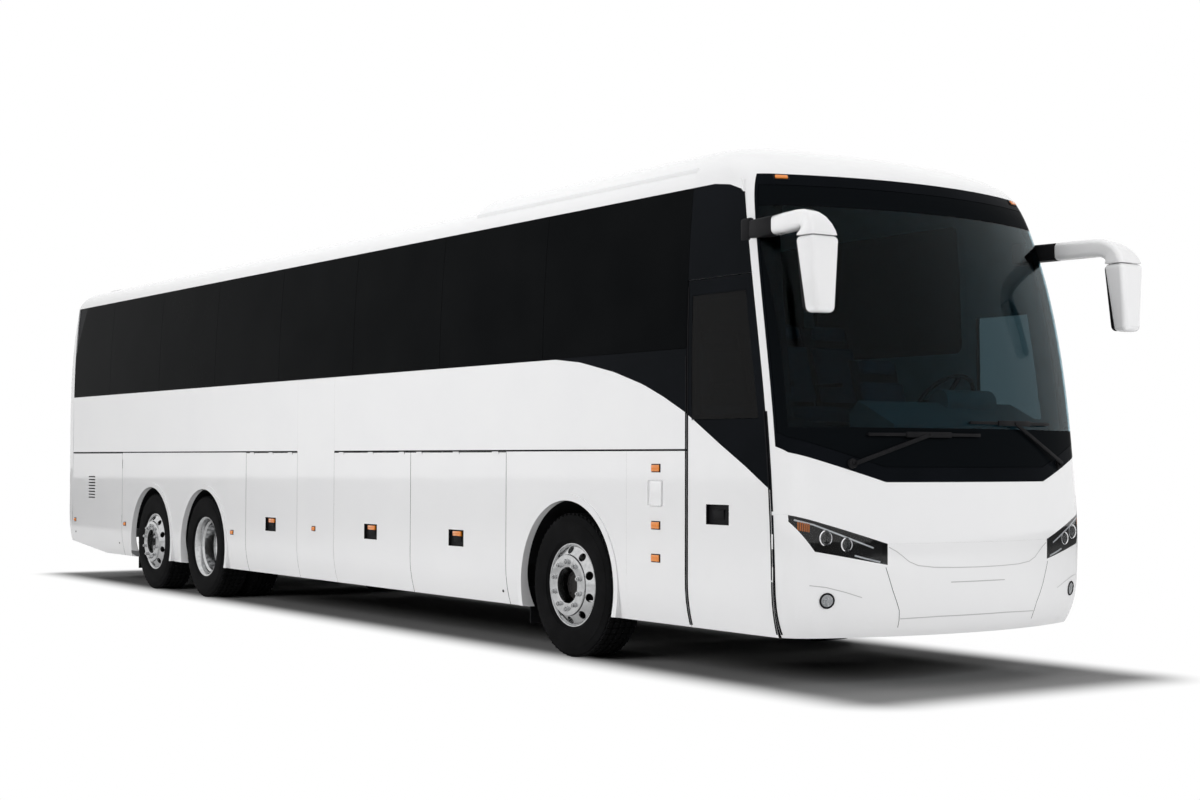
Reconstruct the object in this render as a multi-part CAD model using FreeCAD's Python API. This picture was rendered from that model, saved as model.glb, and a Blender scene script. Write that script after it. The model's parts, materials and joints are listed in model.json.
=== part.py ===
import FreeCAD, Part
import math
import os

# A three-axle coach bus. X runs forward, Y to the bus's left, Z up from the ground.
# While it is modelled, X is zero at the front axle. The export moves it to the middle.

V = FreeCAD.Vector
RIGHT = -1
LEFT = 1
SIDES = {"right": RIGHT, "left": LEFT}

# Overall sizes
wheelbase = 6750.0
tandem_spacing = 1412.0
front_overhang = 2750.0
rear_overhang = 2888.0
body_width = 2590.0
skirt_bottom = 320.0
belt_height = 1458.0
window_bottom = 2122.0
window_top = 3172.0

# Wall build-up and gaps
wall = 45.0
glass = 8.0
bond = 0.5
seam = 6.0
fixed_gap = 0.6
hinge_gap = 0.3
roof_thickness = 55.0
overrun = 40.0
running_gap = 0.05
loft_swell = 2.0

# Body side section
curl_height = 300.0
curl_depth = 45.0
tumble_start = 2000.0
tumble_depth = 57.0
cant_radius = 200.0
crown_radius = 4200.0
crown_flat = 2.0

# Front and rear ends seen from above
nose_radius = 2900.0
corner_radius = 260.0
tail_radius = 9000.0
tail_corner_radius = 130.0
nose_setback = 500.0
tail_setback = 110.0
dome_depth = 1100.0
dome_cant_radius = 300.0
tail_dome_depth = 900.0
fairing_half = 1190.0
fairing_slope = 160.0
fairing_rear_share = 0.2222
corner_limit_share = 0.9

# Height share of the glazed body and set-back share of the nose, bottom to top
nose_shares = [
    (0.000, 0.190), (0.028, 0.104), (0.063, 0.046), (0.116, 0.012), (0.179, 0.000),
    (0.251, 0.012), (0.333, 0.050), (0.410, 0.092), (0.521, 0.168), (0.693, 0.348),
    (0.839, 0.578), (0.900, 0.706), (0.958, 0.850), (1.000, 0.996), (1.027, 1.110),
]
tail_shares = [
    (0.000, 0.900), (0.040, 0.560), (0.100, 0.270), (0.200, 0.073), (0.340, 0.000),
    (0.620, 0.000), (0.760, 0.136), (0.900, 0.500), (1.000, 1.000),
]
# Height share and set-back share of the roof's domed ends
dome_shares = [
    (0.000, 0.000), (0.086, 0.024), (0.204, 0.065), (0.360, 0.147), (0.517, 0.260),
    (0.670, 0.420), (0.800, 0.600), (0.908, 0.800), (1.000, 1.000),
]

# Wheels and tyres
tyre_radius = 512.0
tyre_width = 296.0
tyre_sides = 36
rim_radius = 298.0
rim_width = 258.0
bead_seat_share = 0.953
hand_hole_radius = 27.0
hand_hole_circle = 238.0
hand_holes = 10
hand_hole_start_share = 0.42
hub_bore_radius = 45.0
hub_barrel_radius = 123.0
hub_flange_radius = 190.0
hub_nose_radius = 108.0
hub_flange = 18.0
hub_cap_wall = 12.0
front_hub_length = 177.0
front_hub_recess = 64.0
drive_hub_length = 110.0
drive_hub_reach = 70.0
wheel_inset = 30.0
twin_gap = 52.0
arch_radius = 600.0
rear_arch_radius = 580.0
flare_width = 48.0
flare_proud = 9.0
# Half-width share and height share of the sections of a rim, its disc and a tyre
rim_shares = [
    (-1.00, 1.000), (-0.88, 1.000), (-0.88, bead_seat_share), (-0.47, 0.936), (-0.35, 0.860),
    (0.35, 0.860), (0.47, 0.936), (0.88, bead_seat_share), (0.88, 1.000), (1.00, 1.000),
    (1.00, 0.966), (0.87, 0.913), (0.48, 0.895), (0.36, 0.819), (-0.36, 0.819),
    (-0.48, 0.895), (-0.87, 0.913), (-1.00, 0.966),
]
disc_shares = [(1.00, 0.43), (1.00, 0.715), (0.68, 0.94), (0.58, 0.93), (0.87, 0.69), (0.87, 0.43)]
tyre_shares = [
    (-0.76, 0.000), (-0.76, 0.075), (-1.00, 0.430), (-0.90, 0.920), (-0.79, 1.000),
    (0.79, 1.000), (0.90, 0.920), (1.00, 0.430), (0.76, 0.075), (0.76, 0.000),
]

# Places along the body as shares of the wheelbase, back from the front axle
front_bay_share = 0.1230
middle_bay_share = 0.3449
column_front_share = 0.5536
column_rear_share = 0.6653
rear_bay_share = 0.8366
arch_shift = 40.0
engine_door_front = 900.0
tail_seam = 2585.0
service_rear = 740.0

# Entrance door and driver's panel, back from the tip of the nose
door_rear_inset = 1335.0
door_low_inset = 453.0
door_middle_inset = 503.0
door_high_inset = 682.0
door_top = 2562.0
door_glass_rear_inset = 58.0
door_glass_front_inset = 72.0
door_glass_bottom = 1660.0
door_glass_top = 2458.0
handle_length = 235.0
handle_height = 128.0
handle_depth = 24.0
handle_from_rear = 210.0
handle_z = 990.0

# Hinges, door latches and louvres
hinge_length = 90.0
hinge_leaf = 16.0
door_hinge_proud = 2.8
hinge_from_end = 150.0
door_hinge_heights = (660.0, 860.0)
side_hinge_heights = (680.0, 1290.0)
tail_hinge_y = 60.0
door_latch_z = 722.0
louvre_count = 8
louvre_length = 217.0
louvre_height = 14.0
louvre_pitch = 34.0
louvre_low = 939.0
louvre_from_front = 906.0
tail_rise = 100.0
departure_from_front = 590.0

# Glazing of the passenger cabin
pane_from_door = 1745.0
pane_length = 1530.0
pane_gap = 4.0
pillar_half = 60.0
pane_corner = 60.0
column_margin = 12.0
tail_glass_top = 620.0

# Windscreen and nose
screen_top = 3205.0
screen_low = 1267.0
screen_corner_rise = 180.0
screen_flat_half = 690.0
screen_side_half = 1250.0
pillar_strip = 60.0
glass_margin = 18.0
clear_margin = 60.0
glass_low_margin = 95.0
clear_low_margin = 230.0
header_height = 80.0
clear_top_margin = 50.0
bumper_top = 893.0
corner_seam = 1072.0
lamp_inner_half = 700.0
lamp_outer_half = 1262.0
lamp_bend_half = 1150.0
lamp_low_inner = 765.0
lamp_low_outer = 850.0
lamp_top_inner = 893.0
lamp_top_outer = 1069.0
lamp_depth = 60.0

# Floors and frame
floor_top = 1350.0
floor_thickness = 50.0
driver_floor_top = 1050.0
aisle_edge = 540.0
step_count = 3
step_thickness = 30.0
entrance_low = 400.0
bay_floor_top = 440.0
bay_floor_thickness = 60.0
bulkhead = 30.0
rail_inner = 420.0
rail_width = 80.0
rail_top = 880.0
rail_height = 200.0
driver_floor_rear_inset = 1850.0
driver_floor_front_inset = 500.0
front_rail_inset = 450.0
front_cross_inset = 1890.0
rear_cross_setback = 380.0
rear_rail_inset = 250.0
liner_wall = 6.0
liner_gap = 22.0
liner_inner = 600.0
liner_low = 630.0
tow_reach = 110.0
tow_plate = 25.0
tow_eye_inset = 45.0
tow_eye_radius = 18.0

# Running gear
kingpin_y = 985.0
kingpin_radius = 25.0
eye_radius = 46.0
eye_height = 100.0
ear_height = 30.0
ear_gap = 2.0
web_thickness = 30.0
web_clear = 4.0
steer_arm_length = 190.0
beam_depth = 110.0
beam_height = 90.0
beam_drop = 110.0
beam_rise_start_share = 3.2
beam_rise_end_share = 1.6
axle_radius = 62.0
drive_case_radius = 190.0
drive_nose_share = 1.5
drive_nose_length = 320.0
bellows_radius = 110.0
bellows_height = 90.0
perch_length = 150.0
perch_width = 120.0
spindle_play = 10.0

# Engine bay and tail
engine_length = 1250.0
engine_top = 1220.0
engine_bottom = 540.0
engine_from_tail = 380.0
rear_door_bottom = 560.0
rear_door_top = 1620.0
rear_door_half = 900.0
rear_window_bottom = 2050.0
rear_window_top = 2950.0
rear_window_half = 960.0
tail_lamp_inner = 1010.0
tail_lamp_outer = 1190.0
tail_lamp_low = 760.0
tail_lamp_high = 1380.0
tail_lamp_depth = 30.0

# Driver's place, back from the tip of the nose
dash_top = 1790.0
dash_lip = 90.0
dash_slope = 160.0
dash_rear_inset = 760.0
dash_front_inset = 420.0
dash_right = 330.0
dash_left = 1080.0
dash_hood = 230.0
column_y = 620.0
column_radius = 34.0
column_length = 240.0
column_tilt = 40.0
hub_seat = 26.0
wheel_hub_inset = 940.0
wheel_hub_z = 1800.0
steering_radius = 232.0
steering_grip = 15.0
spoke_turns = (0, 90, 180, 270)

# Seats
seat_length = 480.0
seat_base = 260.0
seat_height = 440.0
seat_top = 1120.0
seat_back = 120.0
seat_rake = 210.0
seat_leg = 60.0
seat_pitch = 780.0
seat_rows = 13
first_seat_inset = 2420.0
seat_outer = 1190.0
seat_inner = 250.0
driver_seat_inset = 1510.0
driver_seat_half = 240.0

# Mirrors and wipers
mirror_root_inset = 760.0
mirror_root_y = 1150.0
mirror_root_z = 2840.0
mirror_ahead = 10.0
mirror_y = 1345.0
mirror_low = 2262.0
mirror_high = 2722.0
mirror_width = 225.0
mirror_depth = 170.0
mirror_round = 60.0
arm_radius = 62.0
arm_end_inset = 50.0
arm_offset = 40.0
wiper_z = 1378.0
wiper_pivot_y = 908.0
wiper_arm = 17.0
wiper_lift = 30.0
blade_half = 420.0
low_blade_z = 1560.0
high_blade_z = 1640.0
blade_middle_y = 380.0

# Side lamps and mud flaps
marker_length = 46.0
marker_height = 24.0
marker_thick = 12.0
marker_places_share = (0.8853, 0.6132)
service_lamp_inset = 335.0
service_lamp_heights = (1345.0, 967.0, 750.0)
marker_z = 680.0
flap_width = 300.0
flap_thick = 12.0
flap_low = 190.0
flap_high = 460.0

# Worked-out places along the body
tag_x = -wheelbase - tandem_spacing
tail_x = tag_x - rear_overhang
engine_door_front_x = tag_x - engine_door_front
tail_seam_x = tag_x - tail_seam
front_bay_x = -wheelbase * front_bay_share
middle_bay_x = -wheelbase * middle_bay_share
column_front_x = -wheelbase * column_front_share
column_rear_x = -wheelbase * column_rear_share
rear_bay_x = -wheelbase * rear_bay_share
door_rear = front_overhang - door_rear_inset
door_front_low = front_overhang - door_low_inset
door_front_middle = front_overhang - door_middle_inset
door_front_high = front_overhang - door_high_inset
pane_front = door_rear - pane_from_door
service_lamp_x = door_rear - service_lamp_inset
fairing_rear = -wheelbase * fairing_rear_share
roof_rear_x = tail_x + tail_setback + tail_dome_depth
dome_base = front_overhang - nose_setback
mirror_x = front_overhang + mirror_ahead
mirror_root_x = front_overhang - mirror_root_inset
arm_end_x = front_overhang - arm_end_inset
mirror_front_x = mirror_x + mirror_depth / 2
middle_x = (mirror_front_x + tail_x) / 2
front_rail_x = front_overhang - front_rail_inset
front_cross_x = front_overhang - front_cross_inset
rear_cross_x = rear_bay_x - rear_cross_setback
rear_rail_x = tail_x + rear_rail_inset
under_floor = floor_top - floor_thickness - bond
driver_floor_rear = front_overhang - driver_floor_rear_inset
driver_floor_front = front_overhang - driver_floor_front_inset
dash_low = driver_floor_top
dash_rear_x = front_overhang - dash_rear_inset
dash_front_x = front_overhang - dash_front_inset
wheel_hub_x = front_overhang - wheel_hub_inset
column_direction = V(math.cos(math.radians(column_tilt)), 0, -math.sin(math.radians(column_tilt)))
first_seat_x = front_overhang - first_seat_inset
driver_seat_x = front_overhang - driver_seat_inset

# Worked-out section sizes
half_width = body_width / 2
glazed_height = window_top - skirt_bottom
curl_top = skirt_bottom + curl_height
curl_radius = (curl_height ** 2 + curl_depth ** 2) / (2 * curl_depth)
tumble_height = window_top - tumble_start
tumble_radius = (tumble_height ** 2 + tumble_depth ** 2) / (2 * tumble_depth)
tumble_lean = math.asin(tumble_height / tumble_radius)
hinge_y = half_width + seam / 2
door_hinge_y = half_width + door_hinge_proud
hinge_radius = math.sqrt(2) * seam / 2 - hinge_gap
door_hinge_x = door_front_low
door_hinge_radius = seam / 2 - hinge_gap

# Worked-out wheel and axle sizes
wheel_z = tyre_radius * math.cos(math.pi / tyre_sides)
tyre_bead_radius = (rim_radius * bead_seat_share + hinge_gap) / math.cos(math.pi / tyre_sides)
wheel_y = half_width - wheel_inset - tyre_width / 2
twin_pitch = tyre_width + twin_gap
twin_inner_y = wheel_y - twin_pitch
disc_face = (twin_pitch - bond) / 2
disc_back = disc_face * disc_shares[-1][0]
front_hub_inner = disc_back - front_hub_length - hub_flange
front_cap = disc_face - front_hub_recess
drive_flange = disc_back - twin_pitch
drive_hub_inner = drive_flange - hub_flange - drive_hub_length
drive_cap = -disc_back + drive_hub_reach
front_spindle_end = wheel_y + front_cap - hub_cap_wall - spindle_play
drive_spindle_end = wheel_y + drive_cap - hub_cap_wall - spindle_play
drive_tube_reach = wheel_y + drive_hub_inner - spindle_play
tag_tube_reach = wheel_y + front_hub_inner - spindle_play
bellows_y = rail_inner + rail_width / 2
bellows_low = rail_top - rail_height - bond - bellows_height
front_perch_top = wheel_z - beam_drop


# Plain solids
def box(x0, x1, y0, y1, z0, z1):
    low = V(min(x0, x1), min(y0, y1), min(z0, z1))
    return Part.makeBox(abs(x1 - x0), abs(y1 - y0), abs(z1 - z0), low)


def rod(start, end, radius):
    axis = end - start
    return Part.makeCylinder(radius, axis.Length, start, axis)


def prism(points, push):
    wire = Part.makePolygon(points + [points[0]])
    return Part.Face(wire).extrude(push)


def side_prism(outline, y0, y1):
    points = [V(x, y0, z) for x, z in outline]
    return prism(points, V(0, y1 - y0, 0))


def front_prism(outline, x0, x1):
    points = [V(x0, y, z) for y, z in outline]
    return prism(points, V(x1 - x0, 0, 0))


def rounded_window(x0, x1, z0, z1, radius, y0, y1):
    block = box(x0, x1, y0, y1, z0, z1)
    upright = [e for e in block.Edges if abs(e.tangentAt(e.FirstParameter).y) > 0.9]
    return block.makeFillet(radius, upright)


def turned(shape, side):
    if side == LEFT:
        return shape
    return shape.mirror(V(0, 0, 0), V(0, 1, 0))


def joined(shapes):
    whole = shapes[0].multiFuse(shapes[1:]) if len(shapes) > 1 else shapes[0]
    return whole.removeSplitter()


# The side skin: half-width at a height, moved inwards by an offset
def skin_y(z, offset):
    if z < curl_top:
        radius = curl_radius - offset
        return half_width - curl_radius + math.sqrt(radius ** 2 - (curl_top - z) ** 2)
    if z > tumble_start:
        radius = tumble_radius - offset
        return half_width - tumble_radius + math.sqrt(radius ** 2 - (z - tumble_start) ** 2)
    return half_width - offset


def cant_centre(radius):
    z = window_top - radius * math.sin(tumble_lean)
    y = half_width - tumble_depth - radius * math.cos(tumble_lean)
    return y, z


def crown_centre_z(radius):
    y, z = cant_centre(radius)
    return z - math.sqrt((crown_radius - radius) ** 2 - y ** 2)


def cant_end(radius):
    y, z = cant_centre(radius)
    share = crown_radius / (crown_radius - radius)
    low = crown_centre_z(radius)
    return y * share, low + (z - low) * share


def roof_y(z, offset, radius):
    y, centre_z = cant_centre(radius)
    low = crown_centre_z(radius)
    join_z = centre_z + (cant_end(radius)[1] - centre_z) * (radius - offset) / radius
    if z < join_z:
        return y + math.sqrt((radius - offset) ** 2 - (z - centre_z) ** 2)
    return math.sqrt(max((crown_radius - offset) ** 2 - (z - low) ** 2, 0.0))


def skin_edges(z0, z1, offset):
    stops = [z0] + [z for z in (curl_top, tumble_start) if z0 < z < z1] + [z1]
    edges = []
    for low, high in zip(stops, stops[1:]):
        a = V(0, skin_y(low, offset), low)
        b = V(0, skin_y(high, offset), high)
        middle = (low + high) / 2
        if low >= curl_top and high <= tumble_start:
            edges.append(Part.LineSegment(a, b).toShape())
        else:
            m = V(0, skin_y(middle, offset), middle)
            edges.append(Part.Arc(a, m, b).toShape())
    return edges


def edge_line(a, b):
    return Part.LineSegment(a, b).toShape()


# A strip of the body side between two heights and two depths, run along X on the left
def band(x0, x1, z0, z1, outer, inner):
    outside = skin_edges(z0, z1, outer)
    inside = skin_edges(z0, z1, inner)
    low = edge_line(V(0, skin_y(z0, outer), z0), V(0, skin_y(z0, inner), z0))
    high = edge_line(V(0, skin_y(z1, outer), z1), V(0, skin_y(z1, inner), z1))
    wire = Part.Wire(Part.sortEdges(outside + inside + [low, high])[0])
    face = Part.Face(wire)
    face.translate(V(min(x0, x1), 0, 0))
    return face.extrude(V(abs(x1 - x0), 0, 0))


# A plan outline of one end of the body at one height
def plan_wire(z, half, tip, back, end_radius, corner, way):
    corner = min(corner, half * corner_limit_share)
    centre_y = half - corner
    gap = end_radius - corner
    centre_x = tip - way * (end_radius - math.sqrt(gap ** 2 - centre_y ** 2))
    nose_centre = tip - way * end_radius
    turn = math.atan2(centre_y, abs(centre_x - nose_centre))
    bend = (turn + math.pi / 2) / 2

    def at(angle, side):
        x = centre_x + way * corner * math.cos(angle)
        return V(x, side * (centre_y + corner * math.sin(angle)), z)

    edges = [
        edge_line(V(back, -half, z), V(centre_x, -half, z)),
        Part.Arc(V(centre_x, -half, z), at(bend, RIGHT), at(turn, RIGHT)).toShape(),
        Part.Arc(at(turn, RIGHT), V(tip, 0, z), at(turn, LEFT)).toShape(),
        Part.Arc(at(turn, LEFT), at(bend, LEFT), V(centre_x, half, z)).toShape(),
        edge_line(V(centre_x, half, z), V(back, half, z)),
        edge_line(V(back, half, z), V(back, -half, z)),
    ]
    return Part.Wire(edges)


def body_y(z, offset, cant):
    if z > window_top:
        return roof_y(z, offset, cant)
    return skin_y(z, offset)


def nose_block(offset):
    wires = []
    for rise, setback in nose_shares:
        z = skirt_bottom + rise * glazed_height
        tip = front_overhang - setback * nose_setback - offset
        half = body_y(z, offset, dome_cant_radius)
        radius = nose_radius - offset
        wires.append(plan_wire(z, half, tip, 0, radius, corner_radius - offset, 1))
    return Part.makeLoft(wires, True)


def tail_block(offset):
    wires = []
    for rise, setback in tail_shares:
        z = skirt_bottom + rise * glazed_height
        tip = tail_x + setback * tail_setback + offset
        corner = tail_corner_radius - offset
        half = skin_y(z, offset)
        wires.append(plan_wire(z, half, tip, tag_x, tail_radius - offset, corner, -1))
    return Part.makeLoft(wires, True)


def dome_block(offset, cant, base, depth, back, end_radius, corner, way):
    top = crown_centre_z(cant) + crown_radius - offset - crown_flat
    wires = []
    for rise, setback in dome_shares:
        z = window_top + rise * (top - window_top)
        tip = base - way * (setback * depth + offset)
        half = roof_y(z, offset, cant)
        wires.append(plan_wire(z, half, tip, back, end_radius, corner - offset, way))
    return Part.makeLoft(wires, True)


# The line along which the door and the driver's panel end, seen from the side
def door_front_edge(shift):
    low = V(door_front_low + shift, 0, skirt_bottom)
    middle = V(door_front_middle + shift, 0, (skirt_bottom + door_top) / 2)
    high = V(door_front_high + shift, 0, door_top)
    return Part.Arc(low, middle, high)


def door_line_x(z, shift):
    circle = door_front_edge(shift).toShape().Curve
    height = z - circle.Center.z
    return circle.Center.x + math.sqrt(circle.Radius ** 2 - height ** 2)


def behind_door_line(shift, back, z0, z1):
    steps = [z0, (z0 + z1) / 2, z1]
    low, middle, high = [V(door_line_x(z, shift), -body_width, z) for z in steps]
    edges = [
        Part.Arc(low, middle, high).toShape(),
        edge_line(high, V(back, -body_width, z1)),
        edge_line(V(back, -body_width, z1), V(back, -body_width, z0)),
        edge_line(V(back, -body_width, z0), low),
    ]
    return Part.Face(Part.Wire(edges)).extrude(V(0, 2 * body_width, 0))


# Roof
def roof_section(offset, cant):
    end_y, end_z = cant_end(cant)
    centre_y, centre_z = cant_centre(cant)
    low = crown_centre_z(cant)
    scale = (cant - offset) / cant
    join = V(0, centre_y + (end_y - centre_y) * scale, centre_z + (end_z - centre_z) * scale)
    start = V(0, roof_y(window_top, offset, cant), window_top)
    middle_z = (window_top + join.z) / 2
    bend = V(0, roof_y(middle_z, offset, cant), middle_z)
    top = V(0, 0, low + crown_radius - offset)
    left = Part.Arc(start, bend, join).toShape()
    crown = Part.Arc(join, top, V(0, -join.y, join.z)).toShape()
    right = left.mirror(V(0, 0, 0), V(0, 1, 0))
    return start, [left, crown, right]


def roof_solid(x0, x1, offset, cant):
    start, edges = roof_section(offset, cant)
    base = edge_line(start, V(0, -start.y, start.z))
    wire = Part.Wire(Part.sortEdges(edges + [base])[0])
    face = Part.Face(wire)
    face.translate(V(x0, 0, 0))
    return face.extrude(V(x1 - x0, 0, 0))


def make_roof_shell():
    front = door_rear - fixed_gap / 2
    outer = roof_solid(roof_rear_x, front, 0, cant_radius)
    inner = roof_solid(roof_rear_x, front, roof_thickness, cant_radius)
    return outer.cut(inner)


def make_roof_fairing():
    dome = dome_block(0, dome_cant_radius, dome_base, dome_depth, fairing_rear,
                      nose_radius, corner_radius, 1)
    front = door_rear - fixed_gap / 2
    keep = box(fairing_rear, front, -fairing_half, fairing_half, window_top, 2 * window_top)
    dome = dome.common(keep)
    roof = roof_solid(fairing_rear - overrun, front + overrun, -bond, cant_radius)
    top = dome.BoundBox.ZMax
    slope = side_prism([(fairing_rear - overrun, window_top), (fairing_rear, window_top),
                        (fairing_rear + fairing_slope, top + overrun),
                        (fairing_rear - overrun, top + overrun)], -body_width, body_width)
    return dome.cut(roof).cut(slope)


def make_front_roof_cap():
    outer = dome_block(0, dome_cant_radius, dome_base, dome_depth, fairing_rear,
                       nose_radius, corner_radius, 1)
    inner = dome_block(roof_thickness, dome_cant_radius, dome_base, dome_depth,
                       fairing_rear - overrun, nose_radius, corner_radius, 1)
    keep = box(door_rear + fixed_gap / 2, front_overhang, -body_width, body_width,
               window_top, 2 * window_top)
    shell = outer.cut(inner).common(keep)
    screen_zone = ahead_of_door_line(pillar_strip, window_top - overrun, screen_top + fixed_gap)
    return shell.cut(screen_zone)


# Body sides
def arch_cut(x, radius, side_depth):
    return rod(V(x, half_width - side_depth, wheel_z), V(x, half_width + overrun, wheel_z), radius)


def arch_flare(x, radius, x0, x1):
    ring_low = V(x, half_width - wall, wheel_z)
    ring_high = V(x, half_width + flare_proud, wheel_z)
    ring = rod(ring_low, ring_high, radius + flare_width)
    low = skirt_bottom + seam
    return ring.common(box(x0 + seam, x1 - seam, 0, half_width + flare_proud,
                           low, belt_height - seam))


def arch_panel(x0, x1, arches, radius):
    panel = band(x0, x1, skirt_bottom, belt_height - fixed_gap, 0, wall)
    flares = [arch_flare(x, radius, x0, x1) for x in arches]
    panel = joined([panel] + flares)
    for x in arches:
        panel = panel.cut(arch_cut(x, radius, 3 * wall))
    return panel


def pane_places():
    stops = [door_rear - fixed_gap / 2, pane_front]
    last = tail_seam_x
    while stops[-1] - pane_length > last + pane_length / 2:
        stops.append(stops[-1] - pane_length)
    stops.append(last)
    return list(zip(stops[1:], stops))


def tail_glass_edge(shift):
    low = (tail_seam_x + shift, window_bottom - overrun)
    knee = (tail_seam_x + shift, (window_bottom + window_top) / 2 - overrun)
    high = (tail_seam_x + shift + tail_glass_top / 2, window_top + overrun)
    return [low, knee, high]


def upper_wall(x0, x1):
    low = band(x0, x1, belt_height, window_bottom, 0, wall)
    high = band(x0, x1, window_bottom - bond, window_top, glass + bond, wall)
    panel = joined([low, high])
    for rear, front in pane_places():
        rear_inset = pillar_half if rear > tail_seam_x + overrun else tail_glass_top / 2 + pillar_half
        hole = rounded_window(rear + rear_inset, front - pillar_half,
                              window_bottom + pillar_half, window_top - pillar_half,
                              pane_corner, half_width - 4 * wall, half_width + overrun)
        panel = panel.cut(hole)
    column = band(column_rear_x - fixed_gap, column_front_x + fixed_gap,
                  belt_height - overrun, window_bottom - column_margin, -overrun, wall + overrun)
    return panel.cut(column)


def make_side_wall(side):
    pieces = [
        upper_wall(tail_seam_x + fixed_gap / 2, door_rear - fixed_gap / 2),
        band(column_rear_x, column_front_x, skirt_bottom,
             window_bottom - column_margin - fixed_gap, 0, wall),
        arch_panel(engine_door_front_x + seam / 2, rear_bay_x - seam / 2,
                   [-wheelbase + arch_shift, tag_x], rear_arch_radius),
        arch_panel(front_bay_x + seam / 2, service_rear - fixed_gap, [0], arch_radius),
        band(service_rear, door_rear - fixed_gap / 2, skirt_bottom,
             belt_height - fixed_gap, 0, wall),
    ]
    if side == LEFT:
        pieces.append(driver_panel())
    else:
        pieces.append(door_header())
    return turned(Part.makeCompound(pieces), side)


def front_side_band(gap, z0, z1, outer, inner, shift):
    strip = band(door_rear + gap, front_overhang, z0, z1, outer, inner)
    return strip.common(behind_door_line(shift, 0, z0, z1))


def door_glass_outline(grow):
    low = door_glass_bottom - grow
    high = door_glass_top + grow
    inset = grow - door_glass_front_inset
    points = [
        (door_rear + door_glass_rear_inset - grow, low), (door_line_x(low, inset), low),
        (door_line_x(high, inset), high), (door_rear + door_glass_rear_inset - grow, high),
    ]
    return side_prism(points, 0, body_width)


def glazed(panel):
    seat = door_glass_outline(pane_gap).common(
        band(door_rear, front_overhang, door_glass_bottom - overrun,
             door_glass_top + overrun, -overrun, glass + bond))
    return panel.cut(seat).cut(door_glass_outline(-pillar_half / 2))


def front_side_pane():
    strip = band(door_rear, front_overhang, door_glass_bottom, door_glass_top, 0, glass)
    return strip.common(door_glass_outline(0))


def driver_panel():
    panel = front_side_band(fixed_gap / 2, skirt_bottom, window_top, 0, wall, seam / 2 - fixed_gap)
    return glazed(panel)


def door_header():
    return front_side_band(fixed_gap / 2, door_top + seam / 2, window_top, 0, wall,
                           seam / 2 - fixed_gap)


def make_entrance_door():
    panel = front_side_band(seam, skirt_bottom, door_top - seam / 2, 0, wall, -seam / 2)
    panel = glazed(panel)
    rear = door_rear + handle_from_rear
    cup = box(rear, rear + handle_length, half_width - handle_depth, half_width + overrun,
              handle_z, handle_z + handle_height)
    hinges = []
    for low in door_hinge_heights:
        axis = V(door_hinge_x, door_hinge_y, low)
        barrel = rod(axis, axis + V(0, 0, hinge_length), door_hinge_radius)
        leaf = box(door_hinge_x - hinge_leaf, door_hinge_x - 2 * seam, half_width - hinge_leaf / 2,
                   door_hinge_y, low, low + hinge_length)
        neck = box(door_hinge_x - hinge_leaf, door_hinge_x, half_width + bond,
                   door_hinge_y, low, low + hinge_length)
        hinges += [barrel, leaf, neck]
    return turned(joined([panel.cut(cup)] + hinges), RIGHT)


def make_luggage_door(x0, x1, side):
    panel = band(x0 + seam / 2, x1 - seam / 2, skirt_bottom, belt_height - seam, 0, wall)
    middle = (x0 + x1) / 2
    cup = box(middle - handle_length / 2, middle + handle_length / 2,
              half_width - handle_depth, half_width + overrun,
              door_latch_z, door_latch_z + handle_height)
    hinges = []
    for x in (x0 + hinge_from_end, middle, x1 - hinge_from_end):
        axis = V(x - hinge_length / 2, hinge_y, belt_height - seam / 2)
        barrel = rod(axis, axis + V(hinge_length, 0, 0), hinge_radius)
        leaf = box(axis.x, axis.x + hinge_length, half_width - hinge_leaf, hinge_y,
                   axis.z - hinge_leaf, axis.z - seam / 2 - bond)
        neck = box(axis.x, axis.x + hinge_length, half_width + bond, hinge_y,
                   axis.z - hinge_leaf, axis.z)
        hinges += [barrel, leaf, neck]
    return turned(joined([panel.cut(cup)] + hinges), side)


def make_engine_side_door(side):
    x0 = tail_seam_x + seam / 2
    x1 = engine_door_front_x - seam / 2
    panel = band(x0, x1, skirt_bottom, belt_height - seam, 0, wall)
    for index in range(louvre_count):
        low = louvre_low + index * louvre_pitch
        front = engine_door_front_x - louvre_from_front
        panel = panel.cut(box(front - louvre_length, front, half_width - 2 * wall,
                              half_width + overrun, low, low + louvre_height))
    hinges = []
    for low in side_hinge_heights:
        axis = V(engine_door_front_x, hinge_y, low)
        barrel = rod(axis, axis + V(0, 0, hinge_length), hinge_radius)
        leaf = box(axis.x - hinge_leaf, axis.x - seam / 2 - bond, half_width - hinge_leaf,
                   hinge_y, low, low + hinge_length)
        neck = box(axis.x - hinge_leaf, axis.x, half_width + bond, hinge_y,
                   low, low + hinge_length)
        hinges += [barrel, leaf, neck]
    return turned(joined([panel.cut(departure_cut())] + hinges), side)


def departure_cut():
    knee = engine_door_front_x - departure_from_front
    far = tail_x - overrun
    drop = skirt_bottom - overrun
    rise = skirt_bottom + tail_rise * (knee - far) / (knee - tail_seam_x)
    outline = [(knee, skirt_bottom), (knee, drop), (far, drop), (far, rise)]
    return side_prism(outline, -body_width, body_width)


def make_body_glass(rear_pane):
    panes = []
    for side in SIDES.values():
        for rear, front in pane_places():
            strip = band(rear + pane_gap / 2, front - pane_gap / 2,
                         window_bottom + pane_gap, window_top - pane_gap, 0, glass)
            if rear <= tail_seam_x:
                low, knee, high = tail_glass_edge(pane_gap)
                strip = strip.cut(side_prism([low, knee, high, (high[0] - tail_glass_top, high[1]),
                                              (low[0] - tail_glass_top, low[1])], 0, body_width))
            panes.append(turned(strip, side))
    panes.append(front_side_pane())
    return Part.makeCompound(panes + [rear_pane])


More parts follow.
